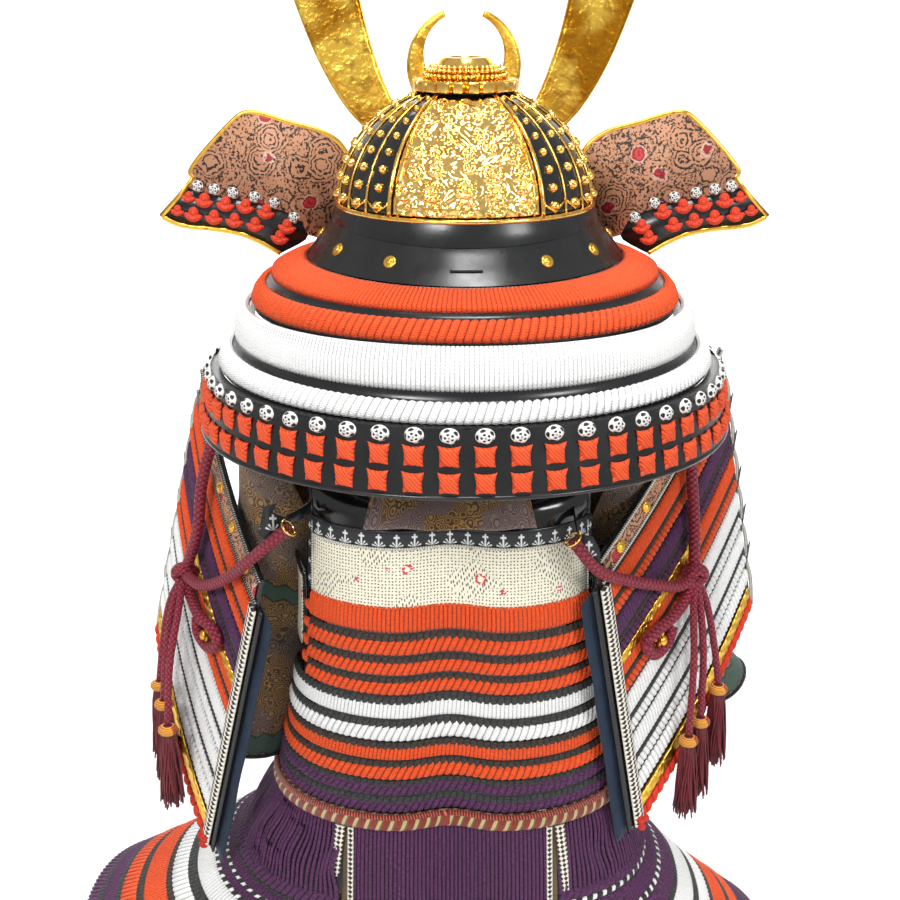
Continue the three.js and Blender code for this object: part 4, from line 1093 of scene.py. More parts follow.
def knot_cord(name, colour, valley):
    """Flat cord crossed in a square knot: strands slant one way across the middle and the other way at two
    corners, with grooves between them. Painted shade darkens the grooves and the edge where the upper
    strands lie over the lower ones."""
    made, shader = finish(name, colour, 0.65, sheen=0.05)
    _, a, b = pattern()
    rise = a + b
    fall = a - b
    over = limits(abs(rise), 1.06, 1.14, 1.0, 0.0)
    upper = sine(rise * 14.3)
    under = sine(fall * 14.3)
    wave = upper * over + under * (1.0 - over)
    step = limits(abs(abs(rise) - 1.16), 0.02, 0.09, 1.0, 0.0)
    # painted shade in the grooves between strands
    base = blend(limits(wave, -1.0, -0.2, 0.75, 0.0), colour, valley)
    # painted shade along the edge of the upper strands
    base = blend(step * 0.8, base, valley)
    coloured(shader, base)
    bumped(shader, wave, 0.0004, 0.6)
    return made


def leaf_cord():
    """Red cord of the small knots: fine curved grooves, darkened with painted shade."""
    made, shader = finish("leaf knot cord", (0.78, 0.045, 0.006), 0.6, sheen=0.05)
    spot = place()
    _, along, _ = pattern()
    wave = sine(maths("MULTIPLY_ADD", along, 26.0, noise(spot, 120) * 4.0))
    # painted shade: the grooves are darkened to a deep red
    coloured(shader, blend(limits(wave, -1.0, 0.0, 0.7, 0.0), (0.80, 0.050, 0.006), (0.30, 0.008, 0.003)))
    bumped(shader, wave, 0.0004, 0.6)
    return made


def bead_braid():
    """A round knot of black and white cord: curved strokes that cross, from two waves round the bead."""
    made, shader = finish("black and white knot", (0.8, 0.8, 0.78), 0.6)
    _, along, around = pattern()
    turns = around * 5.0
    rings = along * 2.4
    a = sine((rings + turns) * math.pi)
    b = sine((rings - turns) * math.pi)
    weave = a * b
    coloured(shader, blend(limits(weave, -0.42, -0.15), (0.012, 0.010, 0.010), (0.82, 0.80, 0.76)))
    bumped(shader, weave, 0.0009, 0.8)
    return made


# the second colours of the knot cord and of the edge knot braid are painted shade
KNOT_ORANGE = knot_cord("knot cord", (0.84, 0.085, 0.006), (0.40, 0.014, 0.003))
BEAD_BRAID = bead_braid()
LEAF_RED = leaf_cord()
EDGE_RED = braid("edge knot cord", (0.74, 0.030, 0.005), (0.16, 0.004, 0.002))
make_bowl()
make_relief()
make_crown()
make_neck_guard()


# Turnbacks, horns and crescent: flat pieces cut to an outline

def plate_of(outline, y_back, y_front):
    """A flat piece between two depths. outline gives x and z."""
    outline = np.asarray(outline, float)
    return outwards(loft(np.stack([points_of(outline[:, 0], y, outline[:, 1]) for y in (y_front, y_back)])))


def smooth_line(points, steps=8):
    """A curve through points given as x and z, with some steps between each two."""
    points = np.asarray(points, float)
    return curve_through(np.concatenate([points, 0 * points[:, :1]], 1), (len(points) - 1) * steps + 1)[:,
        :2]


# Each turnback's edges, as x and z from the helmet's middle, for the left side
WING_TOP = [(-83.7, 246.4), (-91.3, 256.7), (-104.2, 264.4), (-125.7, 270.4), (-149.7, 277.2),
    (-158.5, 276.8), (-166.0, 271.5), (-197.0, 238.6), (-198.5, 234.3), (-196.4, 231.0)]
WING_TIP = [(-196.4, 231.0), (-207.0, 218.5), (-221.8, 203.2)]
WING_LOW = [(-221.8, 203.2), (-208.3, 196.9), (-181.8, 193.7), (-164.2, 190.2), (-151.1, 184.8),
    (-135.4, 175.8)]
WING_FOOT = [(-135.4, 175.8), (-128.0, 179.5), (-122.0, 182.5), (-116.5, 186.0), (-114.5, 189.5)]
WING_INNER = [(-114.5, 189.5), (-107.0, 188.0), (-101.5, 192.5), (-95.5, 200.5), (-90.0, 207.5),
    (-86.5, 215.0), (-84.5, 230.0), (-83.7, 246.4)]
WING_SPLIT = [(-202.5, 224.2), (-187.5, 220.3), (-171.8, 216.8), (-154.3, 214.1), (-141.2, 209.7),
    (-129.6, 206.0), (-119.3, 198.5), (-114.5, 189.5)]
WING_BEADS = [(-193.8, 225.1), (-182.0, 222.9), (-168.5, 220.3), (-152.8, 217.2), (-138.4, 212.8),
    (-124.6, 202.2)]
WING_KNOTS = [(-200.9, 217.2), (-189.6, 214.6), (-174.2, 211.9), (-159.7, 210.2), (-144.9, 206.2),
    (-129.8, 195.5), (-209.5, 207.3), (-198.1, 204.4), (-183.1, 202.2), (-168.2, 200.0), (-153.2, 196.9),
    (-135.4, 187.5)]


def leaf_knot():
    """A small knot of two swellings: a wide one that curves up at its ends, and a round lobe above it."""
    turn = np.arange(14) / 14 * TAU
    parts = []
    for half_x, half_y, y0, bend, high in ((5.9, 2.7, -2.0, 0.055, 2.6), (3.3, 3.5, 1.7, 0.0, 2.2)):
        rows = []
        for share in (1.0, 0.97, 0.82, 0.55, 0.06):
            x = half_x * share * np.cos(turn)
            y = y0 + half_y * share * np.sin(turn) + bend * x ** 2
            rows.append(points_of(x, y, high * np.sqrt(1 - share ** 2) + 0.3))
        rows.insert(0, rows[0] * (1, 1, 0) - (0, 0, 0.6))
        parts.append(outwards(loft(np.stack(rows), along=np.linspace(0, 1, 6), around=np.arange(15) / 14)))
    return merged(parts)


def make_turnbacks():
    """Each turnback: a tan printed upper field, a black lower field with two rows of knots, and a gilt
    rim."""
    top, low, inner, split = (smooth_line(edge) for edge in (WING_TOP, WING_LOW, WING_INNER, WING_SPLIT))
    tip = np.array(WING_TIP)
    upper = np.concatenate([top, split, inner[1:-1]])
    lower = np.concatenate([split[:1], tip[-1:], low, WING_FOOT[1:-1], split[::-1][:-1]])
    rim = np.concatenate([top, tip[1:-1], low])
    for side in (-1, 1):
        label = "left" if side < 0 else "right"
        node = f"turnback_{label}"

        def placed(line, y):
            return points_of(HELMET_X - side * line[:, 0], y, line[:, 1])
        field = np.concatenate([placed(upper, 0)[:, ::2]], 1)
        piece(f"turnback_leather_{label}", plate_of(field, 41.4, 38.0), ROSE_LEATHER, node)
        field = np.concatenate([placed(lower, 0)[:, ::2]], 1)
        piece(f"turnback_black_{label}", plate_of(field, 41.2, 38.4), SATIN, node)
        piece(f"turnback_rim_{label}", tube(placed(rim, 39.6), 2.0, 8), SOFT_GOLD, node)
        knots = placed(np.array(WING_KNOTS), 38.2)
        facing_rear = np.tile([0, -1.0, 0], (len(knots), 1))
        tilt = facing(facing_rear, (0.16 * side, 0, -1))
        size = np.where(np.arange(12) % 6 == 0, 0.85, 1.16)
        piece(f"turnback_knots_{label}", repeated(*leaf_knot(), knots, *tilt, size), LEAF_RED, node)
        beads = placed(np.array(WING_BEADS), 38.0)
        bead = dome(4.2, 3.0, 5, 14, 0.6)
        piece(f"turnback_beads_{label}", repeated(*bead, beads, *facing(facing_rear[:6])), BEAD_BRAID, node)


HORN = [(12, 229.6), (22, 229.6), (40, 236), (61, 249), (84, 268), (106, 302), (126.5, 353), (142, 405),
    (152, 462), (128, 448), (117, 436), (108, 456), (92, 478), (89, 420), (80, 361), (70, 318), (56, 281),
    (40, 256), (24, 243), (12, 238)]


def make_horns():
    """Each horn: a thin sheet whose outer and inner edges are curves, joined by rows that swell in the
    middle."""
    for side in (-1, 1):
        label = "left" if side < 0 else "right"
        outer = np.array(HORN[1:9], float)
        inner = np.array([*HORN[12:19]][::-1], float)
        count = 60
        edge_a = curve_through(np.concatenate([outer, 0 * outer[:, :1]], 1), count)[:, :2]
        edge_b = curve_through(np.concatenate([inner, 0 * inner[:, :1]], 1), count)[:, :2]
        across = np.linspace(0, 1, 13)[None, :, None]
        flat = edge_a[:, None] * (1 - across) + edge_b[:, None] * across
        tip = np.linspace(0, 1, count)[:, None]
        notch = 24 * np.clip((tip - 0.86) / 0.14, 0, 1) * np.exp(-((across[..., 0] - 0.42) / 0.24) ** 2)
        z = flat[..., 1] - notch
        rise = 1.0 + 0.5 * np.sin(np.pi * across[..., 0]) + 0 * tip
        front = points_of(side * (flat[..., 0] + HELMET_X * side), 112 - rise, z)
        back = points_of(side * (flat[..., 0] + HELMET_X * side), 112 + rise, z)
        sheet = outwards(sheet_of(front, back))
        piece(f"horn_sheet_{label}", sheet, HAMMERED, f"horn_{label}")
        edge = [tube(front[:, k] + (0, 1.0, 0), 1.0, 6) for k in (0, -1)]
        piece(f"horn_edge_{label}", merged(edge), SOFT_GOLD, f"horn_{label}")


def make_crescent():
    """The crescent: rows run from the outer circle to the inner one, which is higher, so the tips are
    thin."""
    tip = np.radians(69)
    share = np.linspace(-1, 1, 90)
    turn = -np.pi / 2 + share * (np.pi - (np.pi / 2 - tip))
    a = np.stack([42.3 * np.cos(turn), 305 + 42.3 * np.sin(turn)], 1)
    span = np.arctan2(a[:, 1] - 313.5, a[:, 0])
    b = np.stack([30.4 * np.cos(span), 313.5 + 30.4 * np.sin(span)], 1)
    width = np.linspace(0, 1, 7)[None, :, None]
    flat = a[:, None] * (1 - width) + b[:, None] * width
    swell = 1.0 + 0.8 * np.sin(np.pi * width[..., 0]) + 0 * share[:, None]
    front = points_of(flat[..., 0] + HELMET_X, 112 - swell, flat[..., 1])
    back = points_of(flat[..., 0] + HELMET_X, 112 + swell, flat[..., 1])
    stem = plate_of(np.array([(-6, 229.6), (6, 229.6), (5, 266), (-5, 266)]) + (HELMET_X, 0), 113.2, 110.8)
    piece("crescent_plate", merged([outwards(sheet_of(front, back)), stem]), HAMMERED, "crescent")
    piece("crescent_edge", tube(front[:, 0] + (0, 1, 0), 1.1, 6), SOFT_GOLD, "crescent")


# Torso

BODY = np.array([(-226, 133, 102, 101), (-210, 132, 101, 100), (-188, 128, 96, 96), (-160, 123, 89, 90),
    (-125, 118, 83, 84), (-56, 112, 79, 74), (0, 110, 77, 66)], float)
SQUARE = 0.8
BACK_HALF = np.radians(66)


def on_body(turn, z, out=0.0):
    """The torso at a height: an oval squared by a power of 0.8, with a dent down the spine."""
    side, back, front = (np.interp(z, BODY[:, 0], BODY[:, k]) for k in (1, 2, 3))
    s, c = np.sin(turn), np.cos(turn)
    x = (side + out) * np.sign(s) * np.abs(s) ** SQUARE
    depth = np.where(c > 0, back, front) + out
    dent = np.where(c > 0, 11 * np.exp(-(x / 27) ** 2), 0)
    return points_of(x, -depth * np.sign(c) * np.abs(c) ** SQUARE + dent, z)


def body_band(top, low, middle=0.0, half=None, lift=0.0):
    """The torso's surface between two heights: all round, or to an angle on each side of middle."""
    def base(u, v, out):
        turn = (u - 0.5) * TAU if half is None else middle + (2 * u - 1) * half
        return on_body(turn, top + (low - top) * v, out + lift)
    return base


def laced_row(name, base_of, top, low, material, node, style, dark=None, wrap=False):
    """One row of lacing: cords, and above them a strip of dark cord heads where dark gives its height.
    Styles: upright cords are thin and tight, twisted ones are plump leaves that lean."""
    strip = dark[1] if dark else 0.0
    foot = np.sign(low - top)
    if dark:
        part = lacing(base_of(top - 0.8 * -foot, top + foot * (strip + 2.6)), 5.0, 1.5, slant=-0.3, rows=5,
            plump=2.6, notch=0.3, wrap=wrap, long=8)
        piece(f"{name}_dark", outwards(part), dark[0], node)
    first = top + foot * strip
    reach = abs(low - first)
    if style == "upright":
        part = lacing(base_of(first, low), 3.2, 2.1, rows=5, plump=5, notch=0.16, wrap=wrap, long=reach)
    elif style == "twisted":
        part = lacing(base_of(first + 0.9 * -foot, low), 5.2, 2.8, slant=-1.05, rows=5, plump=2.6,
            notch=0.42, wrap=wrap, long=reach)
    elif style == "smooth":
        part = lacing(base_of(first, low), 3.0, 1.4, slant=-0.3, rows=5, plump=8, notch=0.04, wrap=wrap,
            long=reach)
    piece(f"{name}_cords", outwards(part), material, node)


# Each row: its name, its node, where it starts and ends in height, its lacing, and the dark strip above it
BACK_ROWS = [
    ("back_row_1", "back_lame_1", -56.2, -77.0, "upright", None),
    ("back_row_2", "back_lame_1", -77.0, -94.5, "twisted", 5.6),
    ("back_row_3", "back_lame_2", -94.5, -110.2, "twisted", 5.2),
    ("back_row_4", "back_lame_2", -110.2, -125.5, "twisted", 4.8),
]
RING_ROWS = [
    ("ring_row_1", "body_lame_1", -125.5, -143.0, "smooth", 5.0, "white"),
    ("ring_row_2", "body_lame_1", -143.0, -160.0, "twisted", 5.4, "white"),
    ("ring_row_3", "body_lame_2", -160.0, -173.5, "smooth", 3.8, "orange"),
    ("ring_row_4", "body_lame_2", -173.5, -188.0, "twisted", 4.4, "orange"),
    ("ring_row_5", "body_lame_3", -188.0, -199.2, "twisted", 3.2, "purple"),
    ("ring_row_6", "body_lame_3", -199.2, -212.2, "twisted", 4.6, "purple"),
]
TORSO_CORDS = {"orange": (ORANGE, DARK), "white": (WHITE, GREY_DARK), "purple": (PURPLE, GREY_DARK)}


def make_torso():
    half = np.radians(61.5)
    for name, node, top, low, style, strip in BACK_ROWS:
        laced_row(name, lambda a, b: body_band(a, b, 0.0, half, 0.5), top, low, ORANGE, node, style,
            (DARK, strip) if strip else None)
    for name, node, top, low, style, strip, colour in RING_ROWS:
        cords, dark = TORSO_CORDS[colour]
        laced_row(name, lambda a, b: body_band(a, b, lift=0.5), top, low, cords, node, style, (dark, strip),
            wrap=True)
    for node, top, low, wide in (("back_lame_1", -56.4, -98, BACK_HALF),
            ("back_lame_2", -98.4, -125, BACK_HALF)):
        wall = shell(body_band(top, low, 0.0, wide), 70, 6, 2.2)
        piece(f"{node}_plate", outwards(wall), GLOSS, node, sharp=50)
    for k, (top, low) in enumerate(((-125.4, -160), (-160.4, -188), (-188.4, -212.8))):
        wall = shell(body_band(top, low), 140, 5, 2.2, wrap=True)
        piece(f"body_lame_{k + 1}_plate", outwards(wall), GLOSS, f"body_lame_{k + 1}", sharp=50)
    front_half = np.radians(52)
    wall = shell(body_band(-34, -125, np.pi, front_half), 60, 16, 2.2)
    piece("chest_wall", outwards(wall), GLOSS, "chest_plate", sharp=50)
    leather = shell(body_band(-34.5, -61.5, np.pi, front_half * 0.985, 0.7), 50, 8, 0.6, length=190,
        height=27)
    piece("chest_leather", outwards(leather), CREAM_LEATHER, "chest_plate")
    for k, (top, low) in enumerate(((-62.5, -80.0), (-80.0, -98.5), (-98.5, -111.5), (-111.5, -125.0))):
        laced_row(f"chest_row_{k + 1}", lambda a, b: body_band(a, b, np.pi, front_half * 0.97, 0.5), top,
            low, ORANGE, "chest_plate", "upright" if k == 0 else "twisted", (DARK, 5.0) if k else None)
    make_side_knots()
    make_back_plate()
    make_rope()


def make_side_knots():
    """A column of small orange knots down each side of the back lames."""
    z = np.array([-70.0, -84.0, -98.0, -112.0])
    spots, outs = [], []
    for side in (-1, 1):
        turn = np.full(len(z), side * np.radians(64))
        spots.append(on_body(turn, z, 0.3))
        outs.append(on_body(turn, z, 1.3) - spots[-1])
    piece("side_knots", repeated(*crossed_knot(4.2, 2.2), np.concatenate(spots),
        *facing(np.concatenate(outs))), KNOT_ORANGE)


def make_back_plate():
    """The back plate: black, with printed leather laid on it and a black edging of small white plants."""
    piece("back_plate_wall", outwards(shell(body_band(0, -56, 0.0, BACK_HALF), 90, 12, 2.2)), SATIN,
        "back_plate", sharp=50)
    half = np.radians(60)
    probe = on_body(np.linspace(-half, half, 200), -30.0)
    wide = np.linalg.norm(np.diff(probe, axis=0), axis=1).sum()
    leather = shell(even(body_band(-12.2, -58.4, 0.0, half, 0.7)), 110, 14, 0.6, length=wide, height=46)
    piece("back_leather", outwards(leather), CREAM_LEATHER, "back_plate")

    def top_edge(u, v, out):
        return on_body((2 * u - 1) * half, -0.8 - 11.8 * v, out + 0.8)
    u, v = np.linspace(0, 1, 121), np.linspace(0, 1, 6)
    grid_u, grid_v = np.meshgrid(u, v, indexing="ij")
    edge = even(top_edge)
    edging = sheet_of(edge(grid_u, grid_v, 0.0), edge(grid_u, grid_v, -0.7), u * 17, 1 - v)
    parts = [outwards(edging)]
    for side in (-1, 1):
        lengths = np.linspace(-1.0, -56.0, 25)
        shares = np.linspace(0, 1, 5)
        z, t = np.meshgrid(lengths, shares, indexing="ij")
        turn = side * (half + (BACK_HALF - half) * t)
        parts.append(outwards(sheet_of(on_body(turn, z, 0.8), on_body(turn, z, 0.1), np.linspace(0, 4, 25),
            shares)))
    piece("back_edging", merged(parts), SPRIG, "back_plate")
    line_turn = np.linspace(-half, half, 120)
    across = on_body(line_turn, np.full(120, -12.6), 1.3)
    lines = [tube(across, 0.95, 6)]
    for side in (-1, 1):
        z = np.linspace(-12.6, -56, 40)
        lines.append(tube(on_body(np.full(40, side * half), z, 1.3), 0.95, 6))
    rim = on_body(np.linspace(-BACK_HALF, BACK_HALF, 90), np.full(90, -0.4), -0.6)
    parts = [(p, f, [np.stack([m[..., 1], m[..., 0]], -1) for m in ms]) for p, f, ms in lines]
    piece("edging_braid", merged(parts), CHECKED_FINE)
    piece("back_rim", tube(rim, 1.6, 8), SATIN)


def make_rope():
    """The waist rope with its patterned cover, and a thin twisted cord laid over it."""
    turn = np.linspace(0, TAU, 241)[:-1]
    middle = on_body(turn, np.full(240, -219.5))
    outward = unit(on_body(turn, np.full(240, -219.5), 10.0) - middle)
    piece("rope_core", outwards(tube(middle + outward, 6.3, 14, wrap=True)), ROPE, "waist_rope")
    thin = middle + outward * 4.2 + (0, 0, 5.6)
    piece("rope_twist", outwards(tube(thin, 2.3, 8, wrap=True)), ROPE_TWIST, "waist_rope")


# Shoulder straps and neck pad

STRAP_PATH = [(-72, 1.1), (-67, 16), (-52, 30), (-28, 39), (2, 40), (30, 32), (50, 14), (61, -8), (66, -33)]


def strap_surface(side):
    """A strap from the back plate over the shoulder to the chest. It falls away outwards, and its ends
    follow
    the plates that they stand on."""
    path = np.array(STRAP_PATH, float)
    last = len(path) - 1
    x = np.linspace(50, 100, 9)
    grid = np.zeros((9, len(path), 3))
    for j, (y, z) in enumerate(path):
        front = j > last / 2
        end = path[last if front else 0]
        wide = np.interp(end[1], BODY[:, 0], BODY[:, 1])
        turn = np.arcsin((x / wide) ** (1 / SQUARE))
        plate_y = on_body(np.pi - turn if front else turn, np.full(9, end[1]))[:, 1]
        near = max(0, 1 - (last - j if front else j) / 3)
        fall = 0 if j in (0, last) else 7 * ((x - 50) / 50) ** 2
        grid[:, j] = points_of(side * x, y + (plate_y - end[0]) * near, z - fall)
    return np.stack([curve_through(row, 49) for row in grid])


def make_straps():
    for side in (-1, 1):
        label = "left" if side < 0 else "right"
        outer = strap_surface(side)
        du = np.gradient(outer, axis=0)
        dv = np.gradient(outer, axis=1)
        normal = unit(np.cross(du, dv)) * (-1 if side < 0 else 1)
        normal *= np.sign((normal * (outer - (side * 75, 0, -60))).sum(-1, keepdims=True))
        piece(f"strap_wall_{label}", outwards(sheet_of(outer, outer - 2.2 * normal)), GLOSS,
            f"strap_{label}", sharp=50)
        edges = [tube(outer[k] - 0.9 * normal[k], 1.7, 8) for k in (0, -1)]
        piece(f"strap_edge_{label}", merged(edges), SATIN, f"strap_{label}")


def make_neck_pad():
    """The neck pad: a padded standing band, thickest at mid height, that leans back a little."""
    turn = np.linspace(-np.radians(60), np.radians(60), 61)[:, None]
    share = np.linspace(0, 1, 13)[None]
    z = 44 - 41 * share
    depth = np.interp(share, [0, 0.54, 1], [62, 58, 63])
    puff = 1.6 * np.sin(np.pi * share) ** 0.6
    back = points_of(57.2 * np.sin(turn), -(depth + puff) * np.cos(turn), z)
    front = points_of((57.2 - 3) * np.sin(turn), -(depth - 3.4) * np.cos(turn), z)
    pad = piece("neck_pad_cloth", outwards(sheet_of(back, front, turn[:, 0] * 58 + 60, share[0] * 37)),
        GOLD_BROCADE, "neck_pad")
    u, v = np.meshgrid(np.linspace(-1, 1, 61), np.linspace(0, 1, 17), indexing="ij")
    lean = np.radians(52) * u
    top = points_of(57.5 * np.sin(lean), -66.0 * np.cos(lean), 25 + 15 * u ** 2)
    low = points_of(61.0 * u, -(78.5 - 3 * u ** 2), 3.6 + 0.8 * np.sin(u * 9))
    swell = 12 * np.sin(np.pi * v) * (0.12 + 0.88 * u ** 2)
    outer = top + (low - top) * v[..., None] + swell[..., None] * np.array([0, -0.55, 0.8])
    part = outwards(sheet_of(outer, outer + (0, 1.0, -0.9), np.linspace(0, 125, 61), np.linspace(0, 28, 17)))
    fall = piece("collar_fall", part, GOLD_BROCADE, "neck_pad")


def make_tabs():
    """At each crossing cord's end: a gilt ring, and a black tab with two white plants on a tongue from the
    strap."""
    shapes = {"left": ((-113, -76, 4), -69.5, [(-12, 9), (-8.1, 16.1), (-17.9, 13.1), (-22.1, -7.5),
        (-14.4, -14.2), (-4.6, -7.5), (-0.4, 4)], [(-116, -68.6, 5), (-107, -62, 8), (-99.5, -52, 11)]),
        "right": ((86, -80, -3), -74.0, [(2.5, 2.5), (4.2, -8), (9.0, -17), (21, -22.9), (19.5, -10),
        (14.7, -1.0)], [(90, -73.2, -5), (89, -66, 3), (88, -56, 9)]), }
    turn = np.arange(25)[:-1] / 24 * TAU
    for side, (end, y, outline, tongue) in shapes.items():
        outline = np.array(outline, float) + (end[0], end[2])
        rows = [points_of(outline[:, 0], depth, outline[:, 1]) for depth in (y - 0.9, y + 0.9)]
        middle = outline.mean(0)
        points, faces, maps = outwards(loft(np.stack(rows)))
        corners = [points[face] for face in faces]
        maps = [(c[..., ::2] - middle) / 15 + 0.5 for c in corners]
        piece(f"tab_{side}", (points, faces, maps), SPRIG)
        path = curve_through(tongue, 14)
        wide = np.array([-4.0, 4.0])[None, :, None] * np.array([0, 0.3, 1.0])
        strip = path[:, None] + wide
        piece(f"tab_tongue_{side}", outwards(sheet_of(strip, strip + (0, 1.6, 0))), SATIN)
        out = unit(np.array([0.75, -0.2, 0.65]) if side == "left" else np.array([-0.6, -0.2, 0.75]))
        a = unit(np.cross(out, (0, 1.0, 0)))
        b = np.cross(out, a)
        ring = np.array(end, float) + 6.2 * (np.cos(turn)[:, None] * a + np.sin(turn)[:, None] * b)
        piece(f"tab_ring_{side}", tube(ring, 1.0, 8, wrap=True), GOLD)


def make_armpit_plates():
    """Small plates that close the sides below the arms: black, with printed leather, and they flare at the
    top."""
    for side in (-1, 1):
        label = "left" if side < 0 else "right"
        middle, half = side * np.pi / 2, np.radians(25)

        def wall(u, v, out):
            z = -40 - 5 * (2 * u - 1) ** 2 - 62 * v
            return on_body(middle + half * (2 * u - 1), z, out + 0.6 + 3.5 * (1 - v) ** 2)
        piece(f"armpit_plate_{label}", outwards(shell(wall, 40, 12, 1.6)), SATIN)
        leather = shell(lambda u, v, out: wall(0.08 + 0.84 * u, 0.09 + 0.9 * v, out + 0.7), 36, 10, 0.6,
            length=80, height=56)
        piece(f"armpit_leather_{label}", outwards(leather), CREAM_LEATHER)
        u = np.linspace(0.0, 1.0, 50)
        piece(f"armpit_rim_{label}", tube(wall(u, np.full(50, 0.0), np.zeros(50)), 1.5, 8), SATIN)


# Shoulder guards

GUARDS = {
    "left": {"corner": (-136, -60, -43), "along": (-58, 140, 121), "down": (-54, 15, -233)},
    "right": {"corner": (106, -60, -27), "along": (106, 140, 121), "down": (36, -10, -216)},
}
GUARD_BOW = 6.0
# Each lame of a guard: where it ends, as a share of the way down, and its cords
GUARD_LAMES = [(0.245, "orange"), (0.385, "purple"), (0.525, "orange"), (0.675, "white"), (0.825, "white"),
    (1.0, None)]
CAP_LOW = 0.105


def guard_face(side):
    guard = GUARDS[side]
    corner, along, down = (np.array(guard[key], float) for key in ("corner", "along", "down"))
    normal = unit(np.cross(along, down))
    normal = -normal if normal[1] > 0 else normal

    def on_guard(s, t, out=0.0):
        """A point on the guard: shares along and down its two edges, out from its bowed face."""
        s, t, out = np.broadcast_arrays(np.asarray(s, float), t, out)
        arch = GUARD_BOW * (1 - (2 * s - 1) ** 2)
        return corner + along * s[..., None] + down * t[..., None] + normal * (arch + out)[..., None]

    return on_guard, normal, np.linalg.norm(down), np.linalg.norm(along)


def guard_band(face, top, low, start=0.012, end=0.985, lift=0.3):
    def base(u, v, out):
        return face(start + (end - start) * u, top + (low - top) * v, out + lift)
    return base


def make_guards():
    for side in GUARDS:
        face, _, tall, _ = guard_face(side)
        lean = 1 if side == "left" else -1
        u = np.linspace(0, 1, 60)
        cap = shell(lambda a, b, out: face(a, b * CAP_LOW, out), 60, 8, 2.4)
        piece(f"cap_wall_{side}", outwards(cap), SATIN, f"guard_cap_{side}", sharp=50)
        leather = shell(lambda a, b, out: face(0.02 + 0.96 * a, 0.016 + 0.066 * b, out + 1.3), 60, 6, 0.8)
        piece(f"cap_leather_{side}", outwards(leather), ROSE_LEATHER, f"guard_cap_{side}")
        edges = [tube(face(u, np.full(60, t), 1.2), 1.3, 6) for t in (0.012, 0.086)]
        piece(f"cap_braid_{side}", merged([flip_maps(e) for e in edges]), CHECKED_FINE, f"guard_cap_{side}")
        top = CAP_LOW
        for k, (low, colour) in enumerate(GUARD_LAMES):
            node = f"guard_lame_{side}_{k + 1}"
            start = top + 0.4 / tall
            wall = shell(guard_band(face, start, low, 0.0, 1.0, 0.0), 50, 8, 2.2)
            piece(f"{node}_plate", outwards(wall), SATIN, node, sharp=50)
            if colour:
                groove = start + (low - start) * 0.60
                cords = TORSO_CORDS[colour][0]
                wide = lacing(guard_band(face, start + 0.006, groove - 0.008), 3.4, 2.3, slant=-0.5 * lean,
                    rows=5, plump=6, notch=0.10, long=20)
                piece(f"{node}_wide", outwards(wide), cords, node)
                strip = lacing(guard_band(face, groove - 0.008, groove + 0.014), 3.4, 1.3, slant=0.6 * lean,
                    rows=4, plump=3, notch=0.1, long=5)
                piece(f"{node}_strip", outwards(strip), DARK if colour != "white" else GREY_DARK, node)
                twist = lacing(guard_band(face, groove + 0.012, low - 0.008), 4.6, 2.9, slant=-0.9 * lean,
                    rows=5, plump=3, notch=0.12, long=13)
                piece(f"{node}_twist", outwards(twist), cords, node)
            else:
                make_guard_foot(face, side, node, start, low)
            tip = face(np.array([0.985, 1.0, 1.06]), np.array([low - 0.006, low - 0.008, low - 0.03]), 0.5)
            if k < 5:
                piece(f"{node}_spike", tube(np.linspace(tip[0], tip[2], 6), np.linspace(2.0, 0.5, 6), 6),
                    SATIN, node)
            top = low
        make_guard_trim(face, side)


def flip_maps(part):
    """A part with its two pattern coordinates swapped."""
    points, faces, maps = part
    return points, faces, [m[..., ::-1] for m in maps]


def make_guard_foot(face, side, node, start, low):
    """The guard's lowest lame: white cords, then a gilt relief strip, and a row of plump red knots on the
    edge."""
    lean = 1 if side == "left" else -1
    tall = low - start
    white = lacing(guard_band(face, start + 0.004, start + tall * 0.38), 4.6, 2.9, slant=-0.9 * lean, rows=5,
        plump=3, notch=0.16, long=13)
    piece(f"{node}_twist", outwards(white), WHITE, node)
    make_fret(f"{node}_fret", face, 0.02, 0.97, start + tall * 0.56, 4.2, node)
    edge = lacing(guard_band(face, start + tall * 0.73, start + tall * 0.99), 9.0, 4.2, slant=0.35 * lean,
        rows=5, plump=2.2, notch=0.3, long=11)
    piece(f"{node}_knots", outwards(edge), EDGE_RED, node)


def make_fret(name, face, first, last, t, half, node):
    """A gilt relief strip: leaves that cross between two edges, from products of waves."""
    tall = 233.0
    u = np.linspace(first, last, 150)[:, None]
    v = np.linspace(-1, 1, 9)[None]
    x = u * 190
    height = 0.9 + 0.8 * np.abs(np.sin(x * 0.55 + v * 2.4)) * np.abs(np.cos(x * 0.31 - v
        * 1.7)) + 0.5 * (np.abs(v) > 0.8)
    outer = face(u + 0 * v, t + v * half / tall + 0 * u, 1.4 + height)
    inner = face(u + 0 * v, t + v * half / tall + 0 * u, 0.3)
    piece(name, outwards(sheet_of(outer, inner)), SOFT_GOLD, node)


